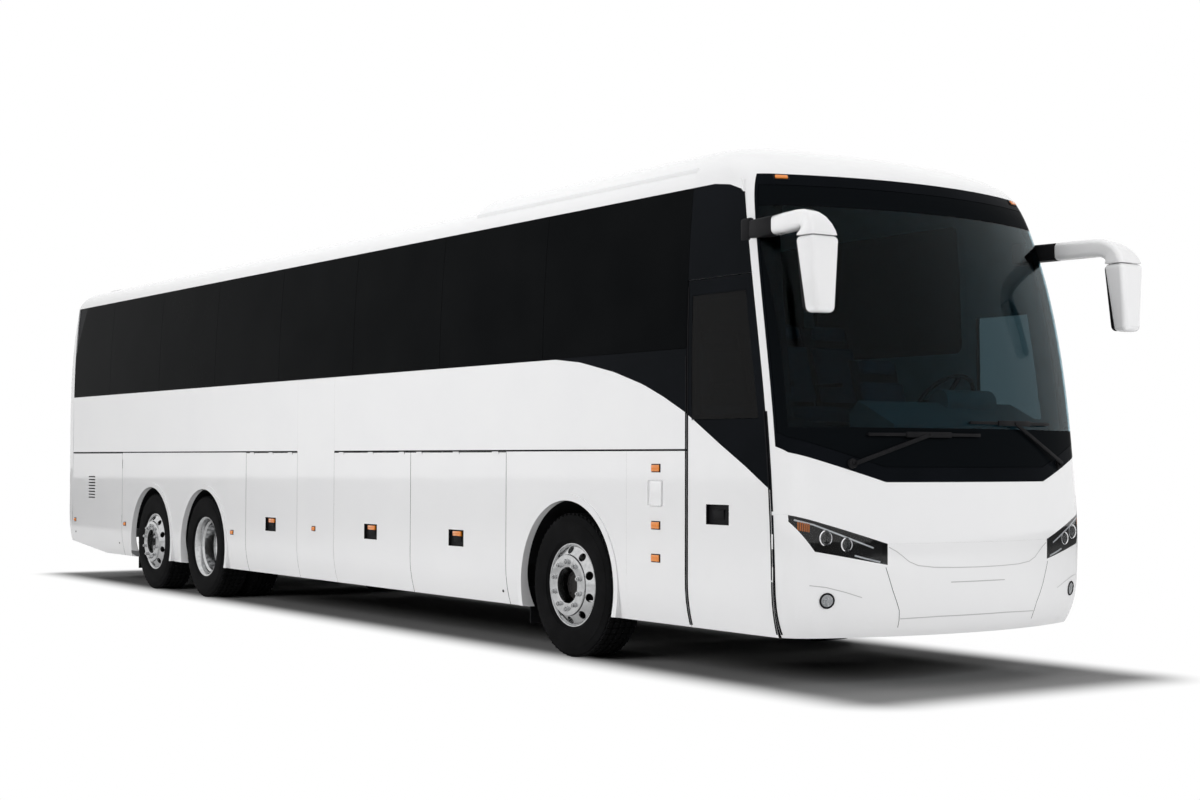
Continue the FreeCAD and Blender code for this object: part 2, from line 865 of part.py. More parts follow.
# Nose pieces
def ahead_of_door_line(shift, z0, z1):
    steps = [z0, (z0 + z1) / 2, z1]
    low, middle, high = [V(door_line_x(z, shift), -body_width, z) for z in steps]
    far = 2 * front_overhang
    edges = [
        Part.Arc(low, middle, high).toShape(),
        edge_line(high, V(far, -body_width, z1)),
        edge_line(V(far, -body_width, z1), V(far, -body_width, z0)),
        edge_line(V(far, -body_width, z0), low),
    ]
    return Part.Face(Part.Wire(edges)).extrude(V(0, 2 * body_width, 0))


def screen_outline(low_margin, top):
    low = screen_low + low_margin
    corner = low + screen_corner_rise
    points = [(-screen_side_half, corner), (-screen_flat_half, low), (screen_flat_half, low),
              (screen_side_half, corner), (half_width, corner + screen_corner_rise / 4),
              (half_width, top), (-half_width, top),
              (-half_width, corner + screen_corner_rise / 4)]
    return front_prism(points, 0, 2 * front_overhang)


def bumper_outline(gap):
    top = bumper_top - gap / 2
    corner = corner_seam - gap / 2
    low = skirt_bottom - overrun
    points = [(-body_width, low), (body_width, low), (body_width, corner),
              (lamp_outer_half, corner), (lamp_inner_half, top), (-lamp_inner_half, top),
              (-lamp_outer_half, corner), (-body_width, corner)]
    return front_prism(points, 0, 2 * front_overhang)


def lamp_prism(side, grow):
    points = [
        (side * (lamp_inner_half - grow), lamp_low_inner - grow),
        (side * lamp_bend_half, lamp_low_outer - grow),
        (side * (lamp_outer_half + grow), lamp_top_outer - overrun),
        (side * (lamp_outer_half + grow), lamp_top_outer + grow),
        (side * (lamp_inner_half - grow), lamp_top_inner + grow),
    ]
    return front_prism(points, front_overhang / 2, 2 * front_overhang)


def make_nose():
    outer = nose_block(0)
    inner = nose_block(wall)
    face = nose_block(glass)
    seat = nose_block(glass + bond)
    top = screen_top
    ahead = ahead_of_door_line(seam / 2, skirt_bottom - overrun, top + overrun)
    strip = ahead_of_door_line(pillar_strip, skirt_bottom - overrun, top + overrun)
    strip_gap = ahead_of_door_line(pillar_strip + fixed_gap, skirt_bottom - overrun, top + overrun)
    shell = outer.cut(inner).common(ahead)
    under_roof = box(0, 2 * front_overhang, -body_width, body_width, 0, window_top)
    screen = screen_outline(0, 2 * top)
    lamps = [lamp_prism(side, 0) for side in SIDES.values()]
    lamp_seats = [lamp_prism(side, bond) for side in SIDES.values()]

    # Bumper, nose panel with its two pillar strips, and lamps
    bumper = shell.common(bumper_outline(fixed_gap))
    rest = shell.cut(bumper_outline(0))
    panel = rest.cut(screen.common(strip)).common(under_roof)
    for cut in lamp_seats:
        bumper = bumper.cut(cut)
        panel = panel.cut(cut)
    lamp_back = nose_block(lamp_depth)
    lamp_body = outer.cut(lamp_back).common(ahead)
    lamps = [lamp_body.common(lamp) for lamp in lamps]

    # Screen frame, with the seat for the glass and the clear opening
    frame_zone = screen_outline(fixed_gap, top)
    frame = shell.common(frame_zone).common(strip_gap)
    glass_line = pillar_strip + seam / 2 + glass_margin
    span_low = skirt_bottom - overrun
    sides = ahead_of_door_line(glass_line, span_low, top + overrun)
    sides_grown = ahead_of_door_line(glass_line - pane_gap, span_low, top + overrun)
    sheet_zone = screen_outline(glass_low_margin, top - header_height).common(sides)
    seat_zone = screen_outline(glass_low_margin - pane_gap, top - header_height + pane_gap)
    seat_zone = seat_zone.common(sides_grown)
    clear_sides = ahead_of_door_line(glass_line + clear_margin, span_low, top + overrun)
    clear = screen_outline(clear_low_margin, top - header_height - clear_top_margin)
    clear = clear.common(clear_sides)
    frame = frame.cut(seat_zone.cut(seat)).cut(clear)
    sheet = outer.cut(face).common(sheet_zone)
    return bumper, panel, lamps, frame, sheet


# Tail pieces
def rear_rect(half, low, high, grow):
    outline = [(-half - grow, low - grow), (half + grow, low - grow),
               (half + grow, high + grow), (-half - grow, high + grow)]
    return front_prism(outline, tail_x - overrun, tail_x + 4 * wall)


def tail_lamp_prism(side, grow):
    low = tail_lamp_low - grow
    high = tail_lamp_high + grow
    inner = side * (tail_lamp_inner - grow)
    outer = side * (tail_lamp_outer + grow)
    outline = [(inner, low), (outer, low), (outer, high), (inner, high)]
    return front_prism(outline, tail_x - overrun, tail_x + 4 * wall)


def make_tail():
    outer = tail_block(0)
    inner = tail_block(wall)
    face = tail_block(glass)
    seat = tail_block(glass + bond)
    lamp_back = tail_block(tail_lamp_depth)
    lamp_seat = tail_block(tail_lamp_depth + bond)
    keep = box(tail_x - overrun, tail_seam_x - fixed_gap / 2, -body_width, body_width,
               0, window_top)
    shell = outer.cut(inner).common(keep).cut(departure_cut())
    door_zone = rear_rect(rear_door_half, rear_door_bottom, rear_door_top, 0)
    door_gap = rear_rect(rear_door_half, rear_door_bottom, rear_door_top, seam)
    door = shell.common(door_zone)
    hinges = []
    for side in SIDES.values():
        axis = V(tail_x - seam / 2 - loft_swell, side * tail_hinge_y, rear_door_top + seam / 2)
        barrel = rod(axis, axis + V(0, side * hinge_length, 0), hinge_radius)
        leaf = box(axis.x, tail_x + hinge_leaf, axis.y, axis.y + side * hinge_length,
                   axis.z - hinge_leaf, axis.z - seam / 2 - bond)
        neck = box(axis.x, tail_x - loft_swell - bond, axis.y, axis.y + side * hinge_length,
                   axis.z - hinge_leaf, axis.z)
        hinges += [barrel, leaf, neck]
    door = joined([door] + hinges)
    cap = shell.cut(door_gap)
    window = rear_rect(rear_window_half, rear_window_bottom, rear_window_top, 0)
    window_seat = rear_rect(rear_window_half, rear_window_bottom, rear_window_top, pane_gap)
    clear = rear_rect(rear_window_half, rear_window_bottom, rear_window_top, -pillar_half / 2)
    pane = outer.cut(face).common(window)
    cap = cap.cut(window_seat.cut(seat)).cut(clear)
    lamps = []
    for side in SIDES.values():
        lamps.append(outer.cut(lamp_back).common(tail_lamp_prism(side, 0)))
        cap = cap.cut(tail_lamp_prism(side, bond).cut(lamp_seat))
    dome_outer = dome_block(0, cant_radius, tail_x + tail_setback, tail_dome_depth, tag_x,
                            tail_radius, tail_corner_radius, -1)
    dome_inner = dome_block(roof_thickness, cant_radius, tail_x + tail_setback,
                            tail_dome_depth, tag_x + overrun, tail_radius,
                            tail_corner_radius, -1)
    dome = dome_outer.cut(dome_inner)
    dome = dome.common(box(tail_x - overrun, roof_rear_x - fixed_gap, -body_width, body_width,
                           window_top, 2 * window_top))
    return cap, door, pane, lamps, dome


# Wheels
def ring_profile(points, y_shift):
    wire = Part.makePolygon([V(0, y + y_shift, r) for y, r in points + [points[0]]])
    return Part.Face(wire).revolve(V(0, 0, 0), V(0, 1, 0), 360)


def faceted_tyre(y_middle):
    half = tyre_width / 2
    wall_rise = tyre_radius - tyre_bead_radius
    profile = [(y_middle + a * half, tyre_bead_radius + b * wall_rise) for a, b in tyre_shares]
    turn = 2 * math.pi / tyre_sides
    rings = []
    for index in range(tyre_sides):
        angle = index * turn + turn / 2
        rings.append([V(r * math.sin(angle), y, r * math.cos(angle)) for y, r in profile])
    faces = []
    for index in range(tyre_sides):
        here = rings[index]
        after = rings[(index + 1) % tyre_sides]
        for corner in range(len(profile)):
            nxt = (corner + 1) % len(profile)
            loop = [here[corner], here[nxt], after[nxt], after[corner], here[corner]]
            faces.append(Part.Face(Part.makePolygon(loop)))
    return Part.makeSolid(Part.makeShell(faces))


# A rim about the Y axis, its disc towards the way given
def rim(y_middle, way):
    barrel = ring_profile([(a * rim_width / 2, b * rim_radius) for a, b in rim_shares], y_middle)
    disc = ring_profile([(way * a * disc_face, b * rim_radius) for a, b in disc_shares], y_middle)
    solid = barrel.fuse(disc)
    for index in range(hand_holes):
        angle = 2 * math.pi * index / hand_holes
        x = hand_hole_circle * math.sin(angle)
        z = hand_hole_circle * math.cos(angle)
        low = V(x, y_middle + way * disc_face * hand_hole_start_share, z)
        solid = solid.cut(rod(low, low + V(0, way * disc_face, 0), hand_hole_radius))
    return solid


def hub(inner_y, flange_y, cap_y):
    bore = hub_bore_radius + running_gap
    return ring_profile([
        (inner_y, bore), (inner_y, hub_barrel_radius), (flange_y - hub_flange, hub_barrel_radius),
        (flange_y - hub_flange, hub_flange_radius), (flange_y, hub_flange_radius),
        (flange_y, hub_nose_radius), (cap_y, hub_nose_radius), (cap_y, 0),
        (cap_y - hub_cap_wall, 0), (cap_y - hub_cap_wall, bore),
    ], 0)


def single_rim():
    return joined([rim(0, 1), hub(front_hub_inner, disc_back, front_cap)])


def place_wheel(shape, x, y, side):
    shape = turned(shape, side).copy()
    shape.translate(V(x, side * y, wheel_z))
    return shape


def twin_rims():
    inner = joined([rim(-twin_pitch, 1), hub(drive_hub_inner, drive_flange, drive_cap)])
    return Part.makeCompound([rim(0, -1), inner])


# Front axle, knuckles and steering
def make_knuckle(side):
    eye_top = wheel_z + eye_height / 2
    eye_low = wheel_z - eye_height / 2
    pin_low = V(0, kingpin_y, eye_low - ear_height - ear_gap)
    pin_high = V(0, kingpin_y, eye_top + ear_height + ear_gap)
    pin = rod(pin_low, pin_high, kingpin_radius)
    ears = [
        rod(V(0, kingpin_y, eye_top + ear_gap), pin_high, eye_radius),
        rod(pin_low, V(0, kingpin_y, eye_low - ear_gap), eye_radius),
    ]
    web_y = kingpin_y + eye_radius + ear_gap
    web = box(-eye_radius, eye_radius, web_y, web_y + web_thickness, pin_low.z, pin_high.z)
    bridges = [
        box(-eye_radius, eye_radius, kingpin_y, web_y, eye_top + ear_gap, pin_high.z),
        box(-eye_radius, eye_radius, kingpin_y, web_y, pin_low.z, eye_low - ear_gap),
    ]
    stub = rod(V(0, web_y, wheel_z), V(0, front_spindle_end, wheel_z), hub_bore_radius)
    arm = box(-steer_arm_length, 0, kingpin_y - eye_radius, kingpin_y,
              pin_low.z, pin_low.z + ear_height)
    return turned(joined([pin, web, stub, arm] + ears + bridges), side)


def make_front_axle():
    pieces = []
    low = wheel_z - beam_drop - beam_height
    rise_start = kingpin_y - beam_rise_start_share * beam_drop
    rise_end = kingpin_y - beam_rise_end_share * beam_drop
    outline = [(-kingpin_y, wheel_z - beam_height / 2), (-rise_end, wheel_z - beam_height / 2),
               (-rise_start, low), (rise_start, low), (rise_end, wheel_z - beam_height / 2),
               (kingpin_y, wheel_z - beam_height / 2), (kingpin_y, wheel_z + beam_height / 2),
               (rise_end, wheel_z + beam_height / 2), (rise_start, low + beam_height),
               (-rise_start, low + beam_height), (-rise_end, wheel_z + beam_height / 2),
               (-kingpin_y, wheel_z + beam_height / 2)]
    beam = front_prism(outline, -beam_depth / 2, beam_depth / 2)
    for side in SIDES.values():
        low_end = V(0, side * kingpin_y, wheel_z - eye_height / 2)
        high_end = V(0, side * kingpin_y, wheel_z + eye_height / 2)
        bore_low = low_end - V(0, 0, overrun)
        bore_high = high_end + V(0, 0, overrun)
        sweep = rod(bore_low, bore_high, eye_radius + web_clear)
        past = box(-beam_depth, beam_depth, side * kingpin_y, side * body_width, 0, belt_height)
        beam = beam.cut(past).cut(sweep.common(past))
        pieces.append(rod(low_end, high_end, eye_radius))
    beam = joined([beam] + pieces)
    for side in SIDES.values():
        bore_low = V(0, side * kingpin_y, wheel_z - eye_height)
        beam = beam.cut(rod(bore_low, bore_low + V(0, 0, 2 * eye_height),
                            kingpin_radius + running_gap))
    return beam


def make_axle_tube(x, reach_y, spindle_end, case_radius):
    tube = rod(V(x, -reach_y, wheel_z), V(x, reach_y, wheel_z), axle_radius)
    spindle = rod(V(x, -spindle_end, wheel_z), V(x, spindle_end, wheel_z), hub_bore_radius)
    pieces = [tube, spindle]
    if case_radius > 0:
        case = Part.makeSphere(case_radius, V(x, 0, wheel_z))
        nose = rod(V(x, 0, wheel_z), V(x - drive_nose_length, 0, wheel_z),
                   axle_radius * drive_nose_share)
        pieces += [case, nose]
    for side in SIDES.values():
        perch = box(x - perch_length / 2, x + perch_length / 2,
                    side * (bellows_y - perch_width / 2), side * (bellows_y + perch_width / 2),
                    wheel_z - axle_radius / 2, bellows_low)
        pieces.append(perch)
    return joined(pieces)


def make_air_springs():
    pieces = []
    for x in (0, -wheelbase, tag_x):
        for side in SIDES.values():
            low = V(x, side * bellows_y, bellows_low + bond)
            if x == 0:
                low = V(x, side * bellows_y, front_perch_top + bond)
            high = V(x, side * bellows_y, rail_top - rail_height - bond)
            pieces.append(rod(low, high, bellows_radius))
    return Part.makeCompound(pieces)


# Frame under the floor, with the luggage bay
def wheel_liner(x, radius, side):
    inner_y = side * liner_inner
    outer_y = side * (half_width - wall - bond)
    outer = rod(V(x, inner_y, wheel_z), V(x, outer_y, wheel_z), radius + liner_gap + liner_wall)
    hollow = rod(V(x, inner_y + side * liner_wall, wheel_z), V(x, outer_y, wheel_z),
                 radius + liner_gap)
    upper = box(x - 2 * radius, x + 2 * radius, inner_y, outer_y, liner_low, belt_height)
    return outer.cut(hollow).common(upper)


# The floor and walls of the luggage bay
def make_bay_tray():
    side_y = half_width - wall - curl_depth
    low = bay_floor_top - bay_floor_thickness
    pieces = [box(rear_bay_x - bulkhead / 2, front_bay_x + bulkhead / 2, -side_y, side_y,
                  low, bay_floor_top)]
    for x in (front_bay_x, middle_bay_x, column_front_x, column_rear_x, rear_bay_x):
        pieces.append(box(x - bulkhead / 2, x + bulkhead / 2, -side_y, side_y, low, under_floor))
    return joined(pieces)


# Two rails with crossmembers, a floor post at each, and a bored towing plate under each rail's end
def ladder(x0, x1, posts, end_x, way):
    low = rail_top - rail_height
    outer = rail_inner + rail_width
    pieces = []
    for side in SIDES.values():
        pieces.append(box(x0, x1, side * rail_inner, side * outer, low, rail_top))
        pieces.append(box(end_x - way * rail_width, end_x + way * tow_reach, side * rail_inner,
                          side * outer, low - tow_plate, low))
    for x, post_top in posts:
        pieces.append(box(x - rail_width, x, -outer, outer, low, rail_top))
        pieces.append(box(x - rail_width / 2 - bulkhead, x - rail_width / 2, -rail_inner,
                          rail_inner, rail_top - bulkhead, post_top))
    frame = joined(pieces)
    for side in SIDES.values():
        eye = V(end_x + way * (tow_reach - tow_eye_inset), side * (rail_inner + rail_width / 2),
                low - tow_plate - overrun)
        frame = frame.cut(rod(eye, eye + V(0, 0, tow_plate + overrun + bond), tow_eye_radius))
    return frame


def make_front_frame():
    posts = [(front_rail_x, driver_floor_top - floor_thickness - bond), (front_cross_x, under_floor)]
    return ladder(front_bay_x + bulkhead / 2 + bond, front_rail_x, posts, front_rail_x, 1)


def make_rear_frame():
    posts = [(rear_cross_x, under_floor), (rear_rail_x + rail_width, under_floor)]
    return ladder(rear_rail_x, rear_bay_x - bulkhead / 2 - bond, posts, rear_rail_x, -1)


def make_wheel_liners():
    pieces = []
    for side in SIDES.values():
        pieces.append(wheel_liner(0, arch_radius, side))
        pieces.append(wheel_liner(-wheelbase + arch_shift, rear_arch_radius, side))
        pieces.append(wheel_liner(tag_x, rear_arch_radius, side))
    return joined(pieces)


def make_cabin_floor():
    side_y = half_width - wall - bond
    low = floor_top - floor_thickness
    main = box(tag_x, driver_floor_rear, -side_y, side_y, low, floor_top)
    rear = box(tail_x, tag_x, -side_y, side_y, low, floor_top).common(tail_block(wall + bond))
    guide = box(driver_floor_rear, door_rear, -side_y, -aisle_edge, low, floor_top)
    return joined([main, rear, guide])


def make_driver_platform():
    side_y = half_width - wall - bond
    low = driver_floor_top - floor_thickness
    platform = box(driver_floor_rear, driver_floor_front, -aisle_edge, side_y - curl_depth,
                   low, driver_floor_top)
    riser = box(driver_floor_rear - step_thickness, driver_floor_rear, -aisle_edge, side_y,
                low, under_floor)
    guide_side = box(driver_floor_rear - step_thickness, door_rear - step_thickness - bond,
                     -aisle_edge - step_thickness, -aisle_edge, low, under_floor)
    return joined([platform, riser, guide_side])


def make_entrance_steps():
    well_y = half_width - wall - bond - curl_depth
    low = entrance_low - step_thickness
    wall_rear = box(door_rear - step_thickness, door_rear, -well_y, -aisle_edge, low, under_floor)
    wall_side = box(door_rear - step_thickness, driver_floor_front, -aisle_edge,
                    -aisle_edge + step_thickness, low, driver_floor_top - floor_thickness - bond)
    pieces = [wall_rear, wall_side]
    rise = (driver_floor_top - entrance_low) / step_count
    tread = (well_y - aisle_edge) / step_count
    for index in range(step_count):
        top = entrance_low + index * rise
        outer = index * tread - well_y
        inner = min(outer + tread + step_thickness, -aisle_edge)
        pieces.append(box(door_rear, driver_floor_front, outer, inner, top - step_thickness, top))
        if index:
            pieces.append(box(door_rear, driver_floor_front, outer,
                              outer + step_thickness, top - rise, top))
    return joined(pieces)


def make_engine():
    x0 = tail_x + engine_from_tail
    inner = rail_inner - bond
    return box(x0, x0 + engine_length, -inner, inner, engine_bottom, engine_top)


# Cabin pieces seen through the glass
def make_dashboard():
    top = dash_top
    outline = [(dash_rear_x, dash_low), (dash_rear_x - dash_lip, top - dash_lip),
               (dash_rear_x, top), (dash_front_x, top - dash_slope),
               (dash_front_x, dash_low)]
    body = side_prism(outline, -dash_right, dash_left)
    hood = rod(V(dash_rear_x - dash_lip, column_y - dash_hood, top),
               V(dash_rear_x - dash_lip, column_y + dash_hood, top), dash_lip)
    hood.translate(V(dash_lip, 0, 0))
    stem_end = V(wheel_hub_x, column_y, wheel_hub_z)
    stem_start = stem_end + column_direction * column_length
    stem = rod(stem_start, stem_end + column_direction * hub_seat, column_radius)
    return joined([body, hood, stem])


def make_steering_wheel():
    grip = Part.makeTorus(steering_radius, steering_grip, V(0, 0, 0), V(0, 0, 1))
    boss = rod(V(0, 0, -hub_seat + bond), V(0, 0, hub_seat), 2 * column_radius)
    spokes = []
    for turn in spoke_turns:
        spoke = box(0, steering_radius, -steering_grip, steering_grip, -steering_grip / 2,
                    steering_grip / 2)
        spoke.rotate(V(0, 0, 0), V(0, 0, 1), turn)
        spokes.append(spoke)
    wheel = joined([grip, boss] + spokes)
    wheel.Placement = FreeCAD.Placement(V(wheel_hub_x, column_y, wheel_hub_z),
                                        FreeCAD.Rotation(V(0, 0, -1), column_direction))
    return wheel


def seat_solid(x, y0, y1, base_z):
    back_foot = V(x, 0, base_z + seat_base)
    side = [
        (x + seat_length, base_z + seat_base), (x + seat_length, base_z + seat_height),
        (x + seat_back, base_z + seat_height), (x - seat_rake + seat_back, base_z + seat_top),
        (x - seat_rake, base_z + seat_top), (x, back_foot.z),
    ]
    shape = side_prism(side, y0, y1)
    leg_y = (y0 + y1) / 2
    leg = box(x + seat_back, x + seat_length - seat_back, leg_y - seat_leg, leg_y + seat_leg,
              base_z + bond, base_z + seat_base)
    return joined([shape, leg])


def make_seats():
    pieces = []
    for row in range(seat_rows):
        x = first_seat_x - row * seat_pitch
        for side in SIDES.values():
            pieces.append(seat_solid(x, side * seat_inner, side * seat_outer, floor_top))
    driver = seat_solid(driver_seat_x, column_y - driver_seat_half,
                        column_y + driver_seat_half, driver_floor_top)
    pieces.append(driver)
    return Part.makeCompound(pieces)


# Mirrors, wipers, lamps and mud flaps
def make_mirrors(skin_block):
    pieces = []
    for side in SIDES.values():
        head = box(mirror_x - mirror_depth / 2, mirror_x + mirror_depth / 2,
                   mirror_y - mirror_width / 2, mirror_y + mirror_width / 2,
                   mirror_low, mirror_high)
        head = head.makeFillet(mirror_round, [e for e in head.Edges])
        root = V(mirror_root_x, mirror_root_y, mirror_root_z)
        elbow = V(arm_end_x, mirror_y - arm_offset, mirror_root_z)
        path = [root, elbow, V(mirror_x, mirror_y, mirror_high - mirror_round)]
        arm = [rod(path[0], path[1], arm_radius), Part.makeSphere(arm_radius, path[1]),
               rod(path[1], path[2], arm_radius)]
        pieces.append(turned(joined([head] + arm).cut(skin_block), side))
    return Part.makeCompound(pieces)


def nose_tip(z):
    wanted = (z - skirt_bottom) / glazed_height
    for (low, back), (high, back_high) in zip(nose_shares, nose_shares[1:]):
        if low <= wanted <= high:
            part = (wanted - low) / (high - low)
            return front_overhang - nose_setback * (back + part * (back_high - back))
    return front_overhang


def nose_x(y, z):
    return nose_tip(z) - nose_radius + math.sqrt(nose_radius ** 2 - y ** 2)


def make_wipers(skin_block):
    pieces = []
    for side, blade_z in ((RIGHT, low_blade_z), (LEFT, high_blade_z)):
        pivot_x = nose_x(wiper_pivot_y, wiper_z)
        pivot = V(pivot_x + wiper_lift, side * wiper_pivot_y, wiper_z)
        middle = V(nose_x(blade_middle_y, blade_z) + wiper_lift, side * blade_middle_y, blade_z)
        post = rod(V(pivot_x - glass - wiper_lift, side * wiper_pivot_y, wiper_z), pivot,
                   wiper_arm)
        arm = rod(pivot, middle, wiper_arm / 2)
        ends = []
        for reach in (-blade_half, blade_half):
            y = side * blade_middle_y + reach
            ends.append(V(nose_x(y, blade_z) + wiper_lift, y, blade_z))
        blade = [rod(ends[0], middle, wiper_arm / 2), rod(middle, ends[1], wiper_arm / 2)]
        knobs = [Part.makeSphere(wiper_arm, pivot), Part.makeSphere(wiper_arm, middle)]
        pieces.append(joined([post, arm] + knobs + blade).cut(skin_block))
    return Part.makeCompound(pieces)


def make_marker_lamps():
    places = [(service_lamp_x, z) for z in service_lamp_heights]
    places += [(-wheelbase * marker_places_share[0], marker_z),
               (-wheelbase * marker_places_share[1], marker_z + 4 * marker_height)]
    pieces = []
    for side in SIDES.values():
        for x, z in places:
            y = half_width + bond
            lamp = box(x - marker_length / 2, x + marker_length / 2, y, y + marker_thick,
                       z - marker_height / 2, z + marker_height / 2)
            pieces.append(turned(lamp, side))
    return Part.makeCompound(pieces)


def make_mud_flaps():
    pieces = []
    for side in SIDES.values():
        for x in (-arch_radius - liner_gap, tag_x - rear_arch_radius - liner_gap):
            y = side * (skin_y(skirt_bottom, wall) - hinge_gap - flap_width)
            pieces.append(box(x - flap_thick, x, y, y + side * flap_width, flap_low, flap_high))
    return Part.makeCompound(pieces)


# Write every piece
def save(name, shape):
    shape = shape.copy()
    shape.translate(V(-middle_x, 0, 0))
    if len(shape.Solids) == 1:
        shape = shape.Solids[0]
    shape.exportStep("parts/" + name + ".step")


def main():
    os.makedirs("parts", exist_ok=True)
    cap, engine_door, rear_pane, tail_lamps, tail_dome = make_tail()
    bumper, nose_panel, headlamps, frame, windscreen = make_nose()
    skin_block = nose_block(-hinge_gap)
    nodes = {
        "bay_tray": make_bay_tray(),
        "front_frame": make_front_frame(),
        "rear_frame": make_rear_frame(),
        "wheel_liners": make_wheel_liners(),
        "cabin_floor": make_cabin_floor(),
        "driver_platform": make_driver_platform(),
        "entrance_steps": make_entrance_steps(),
        "roof_shell": make_roof_shell(),
        "roof_fairing": make_roof_fairing(),
        "front_roof_cap": make_front_roof_cap(),
        "side_wall_right": make_side_wall(RIGHT),
        "side_wall_left": make_side_wall(LEFT),
        "body_glass": make_body_glass(rear_pane),
        "windscreen_frame": frame,
        "windscreen": windscreen,
        "nose_panel": nose_panel,
        "bumper": bumper,
        "headlamps": Part.makeCompound(headlamps),
        "marker_lamps": make_marker_lamps(),
        "rear_cap": Part.makeCompound([cap, tail_dome]),
        "tail_lamps": Part.makeCompound(tail_lamps),
        "rear_engine_door": engine_door,
        "engine": make_engine(),
        "front_axle": make_front_axle(),
        "drive_axle": make_axle_tube(-wheelbase, drive_tube_reach, drive_spindle_end,
                                     drive_case_radius),
        "tag_axle": make_axle_tube(tag_x, tag_tube_reach, front_spindle_end, 0),
        "air_springs": make_air_springs(),
        "dashboard": make_dashboard(),
        "steering_wheel": make_steering_wheel(),
        "seats": make_seats(),
        "mirrors": make_mirrors(skin_block),
        "wipers": make_wipers(skin_block),
        "mud_flaps": make_mud_flaps(),
        "entrance_door": make_entrance_door(),
        "entrance_door_glass": turned(front_side_pane(), RIGHT),
    }
    bays = {"front": (middle_bay_x, front_bay_x), "middle": (column_front_x, middle_bay_x),
            "rear": (rear_bay_x, column_rear_x)}
    single = single_rim()
    twins = twin_rims()
    tyre = faceted_tyre(0)
    for word, side in SIDES.items():
        for bay, (x0, x1) in bays.items():
            nodes["luggage_door_" + bay + "_" + word] = make_luggage_door(x0, x1, side)
        nodes["engine_side_door_" + word] = make_engine_side_door(side)
        nodes["knuckle_" + word] = make_knuckle(side)
        nodes["front_rim_" + word] = place_wheel(single, 0, wheel_y, side)
        nodes["front_tyre_" + word] = place_wheel(tyre, 0, wheel_y, side)
        nodes["tag_rim_" + word] = place_wheel(single, tag_x, wheel_y, side)
        nodes["tag_tyre_" + word] = place_wheel(tyre, tag_x, wheel_y, side)
        nodes["drive_rims_" + word] = place_wheel(twins, -wheelbase, wheel_y, side)
        outer = place_wheel(tyre, -wheelbase, wheel_y, side)
        inner = place_wheel(tyre, -wheelbase, twin_inner_y, side)
        nodes["drive_tyres_" + word] = Part.makeCompound([outer, inner])
    for name, shape in nodes.items():
        print(name, shape.isValid(), len(shape.Solids), round(shape.Volume / 1e9, 4))
        save(name, shape)


main()
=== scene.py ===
"""Looks of a three-axle coach bus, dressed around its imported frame."""
import json
import logging
import math
from collections.abc import Callable, Iterator
from contextlib import contextmanager
from dataclasses import dataclass
from enum import Enum
from functools import cache

import bpy
from mathutils import Matrix, Vector
from mathutils.bvhtree import BVHTree

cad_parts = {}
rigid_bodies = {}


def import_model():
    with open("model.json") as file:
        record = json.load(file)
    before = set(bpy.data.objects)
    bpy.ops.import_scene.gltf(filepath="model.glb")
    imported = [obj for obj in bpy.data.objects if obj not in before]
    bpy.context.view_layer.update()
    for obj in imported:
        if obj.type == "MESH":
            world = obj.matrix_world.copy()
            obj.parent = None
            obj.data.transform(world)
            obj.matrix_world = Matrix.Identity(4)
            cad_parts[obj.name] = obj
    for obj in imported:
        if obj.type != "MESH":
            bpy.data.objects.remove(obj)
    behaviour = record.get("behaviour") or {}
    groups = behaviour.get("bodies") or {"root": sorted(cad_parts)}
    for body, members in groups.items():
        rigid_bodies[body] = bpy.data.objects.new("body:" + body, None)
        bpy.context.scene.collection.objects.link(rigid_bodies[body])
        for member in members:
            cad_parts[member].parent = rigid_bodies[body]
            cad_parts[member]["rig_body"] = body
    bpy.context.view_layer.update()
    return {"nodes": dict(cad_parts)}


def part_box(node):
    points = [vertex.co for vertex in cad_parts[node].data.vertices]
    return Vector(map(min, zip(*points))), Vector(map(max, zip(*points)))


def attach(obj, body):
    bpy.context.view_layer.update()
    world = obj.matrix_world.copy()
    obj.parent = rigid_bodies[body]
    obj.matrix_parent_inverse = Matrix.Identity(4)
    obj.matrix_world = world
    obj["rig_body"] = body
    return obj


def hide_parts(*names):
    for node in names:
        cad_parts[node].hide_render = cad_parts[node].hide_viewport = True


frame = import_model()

log = logging.getLogger("coach")

Piece = bpy.types.Object
Socket = bpy.types.NodeSocket
Colour = tuple[float, float, float]
Point = tuple[float, float, float]
Path = tuple[tuple[float, float], ...]
Station = tuple[float, float, float, float, float, float]
AHEAD: Point = (1.0, 0.0, 0.0)
BACK: Point = (-1.0, 0.0, 0.0)
LEFTWARDS: Point = (0.0, 1.0, 0.0)
MERGE_REACH = 1e-5
LEAN_LIMIT = 0.3
SKIN_SLACK = 0.0012
PROBE_REACH = 0.3


class Side(Enum):
    """The two sides of the bus, by the sign of Y."""

    RIGHT = -1
    LEFT = 1

    @property
    def word(self) -> str:
        """The word that the nodes' names end in."""
        return self.name.lower()

    @property
    def turn(self) -> float:
        """The turn about Z that faces a piece modelled for the left side outwards."""
        return 0.0 if self is Side.LEFT else math.pi


# Shared workshop functions


def clear_selection() -> None:
    """Leaves edit mode and deselects everything."""
    if bpy.context.object and bpy.context.object.mode != "OBJECT":
        bpy.ops.object.mode_set(mode="OBJECT")
    bpy.ops.object.select_all(action="DESELECT")


def pick(piece: Piece) -> None:
    """Makes one piece the only selected and the active one."""
    clear_selection()
    piece.select_set(True)
    bpy.context.view_layer.objects.active = piece


def settle(piece: Piece) -> Piece:
    """Moves a piece's place into its mesh, so that the object sits at the origin."""
    pick(piece)
    bpy.ops.object.transform_apply(location=True, rotation=True, scale=True)
    return piece


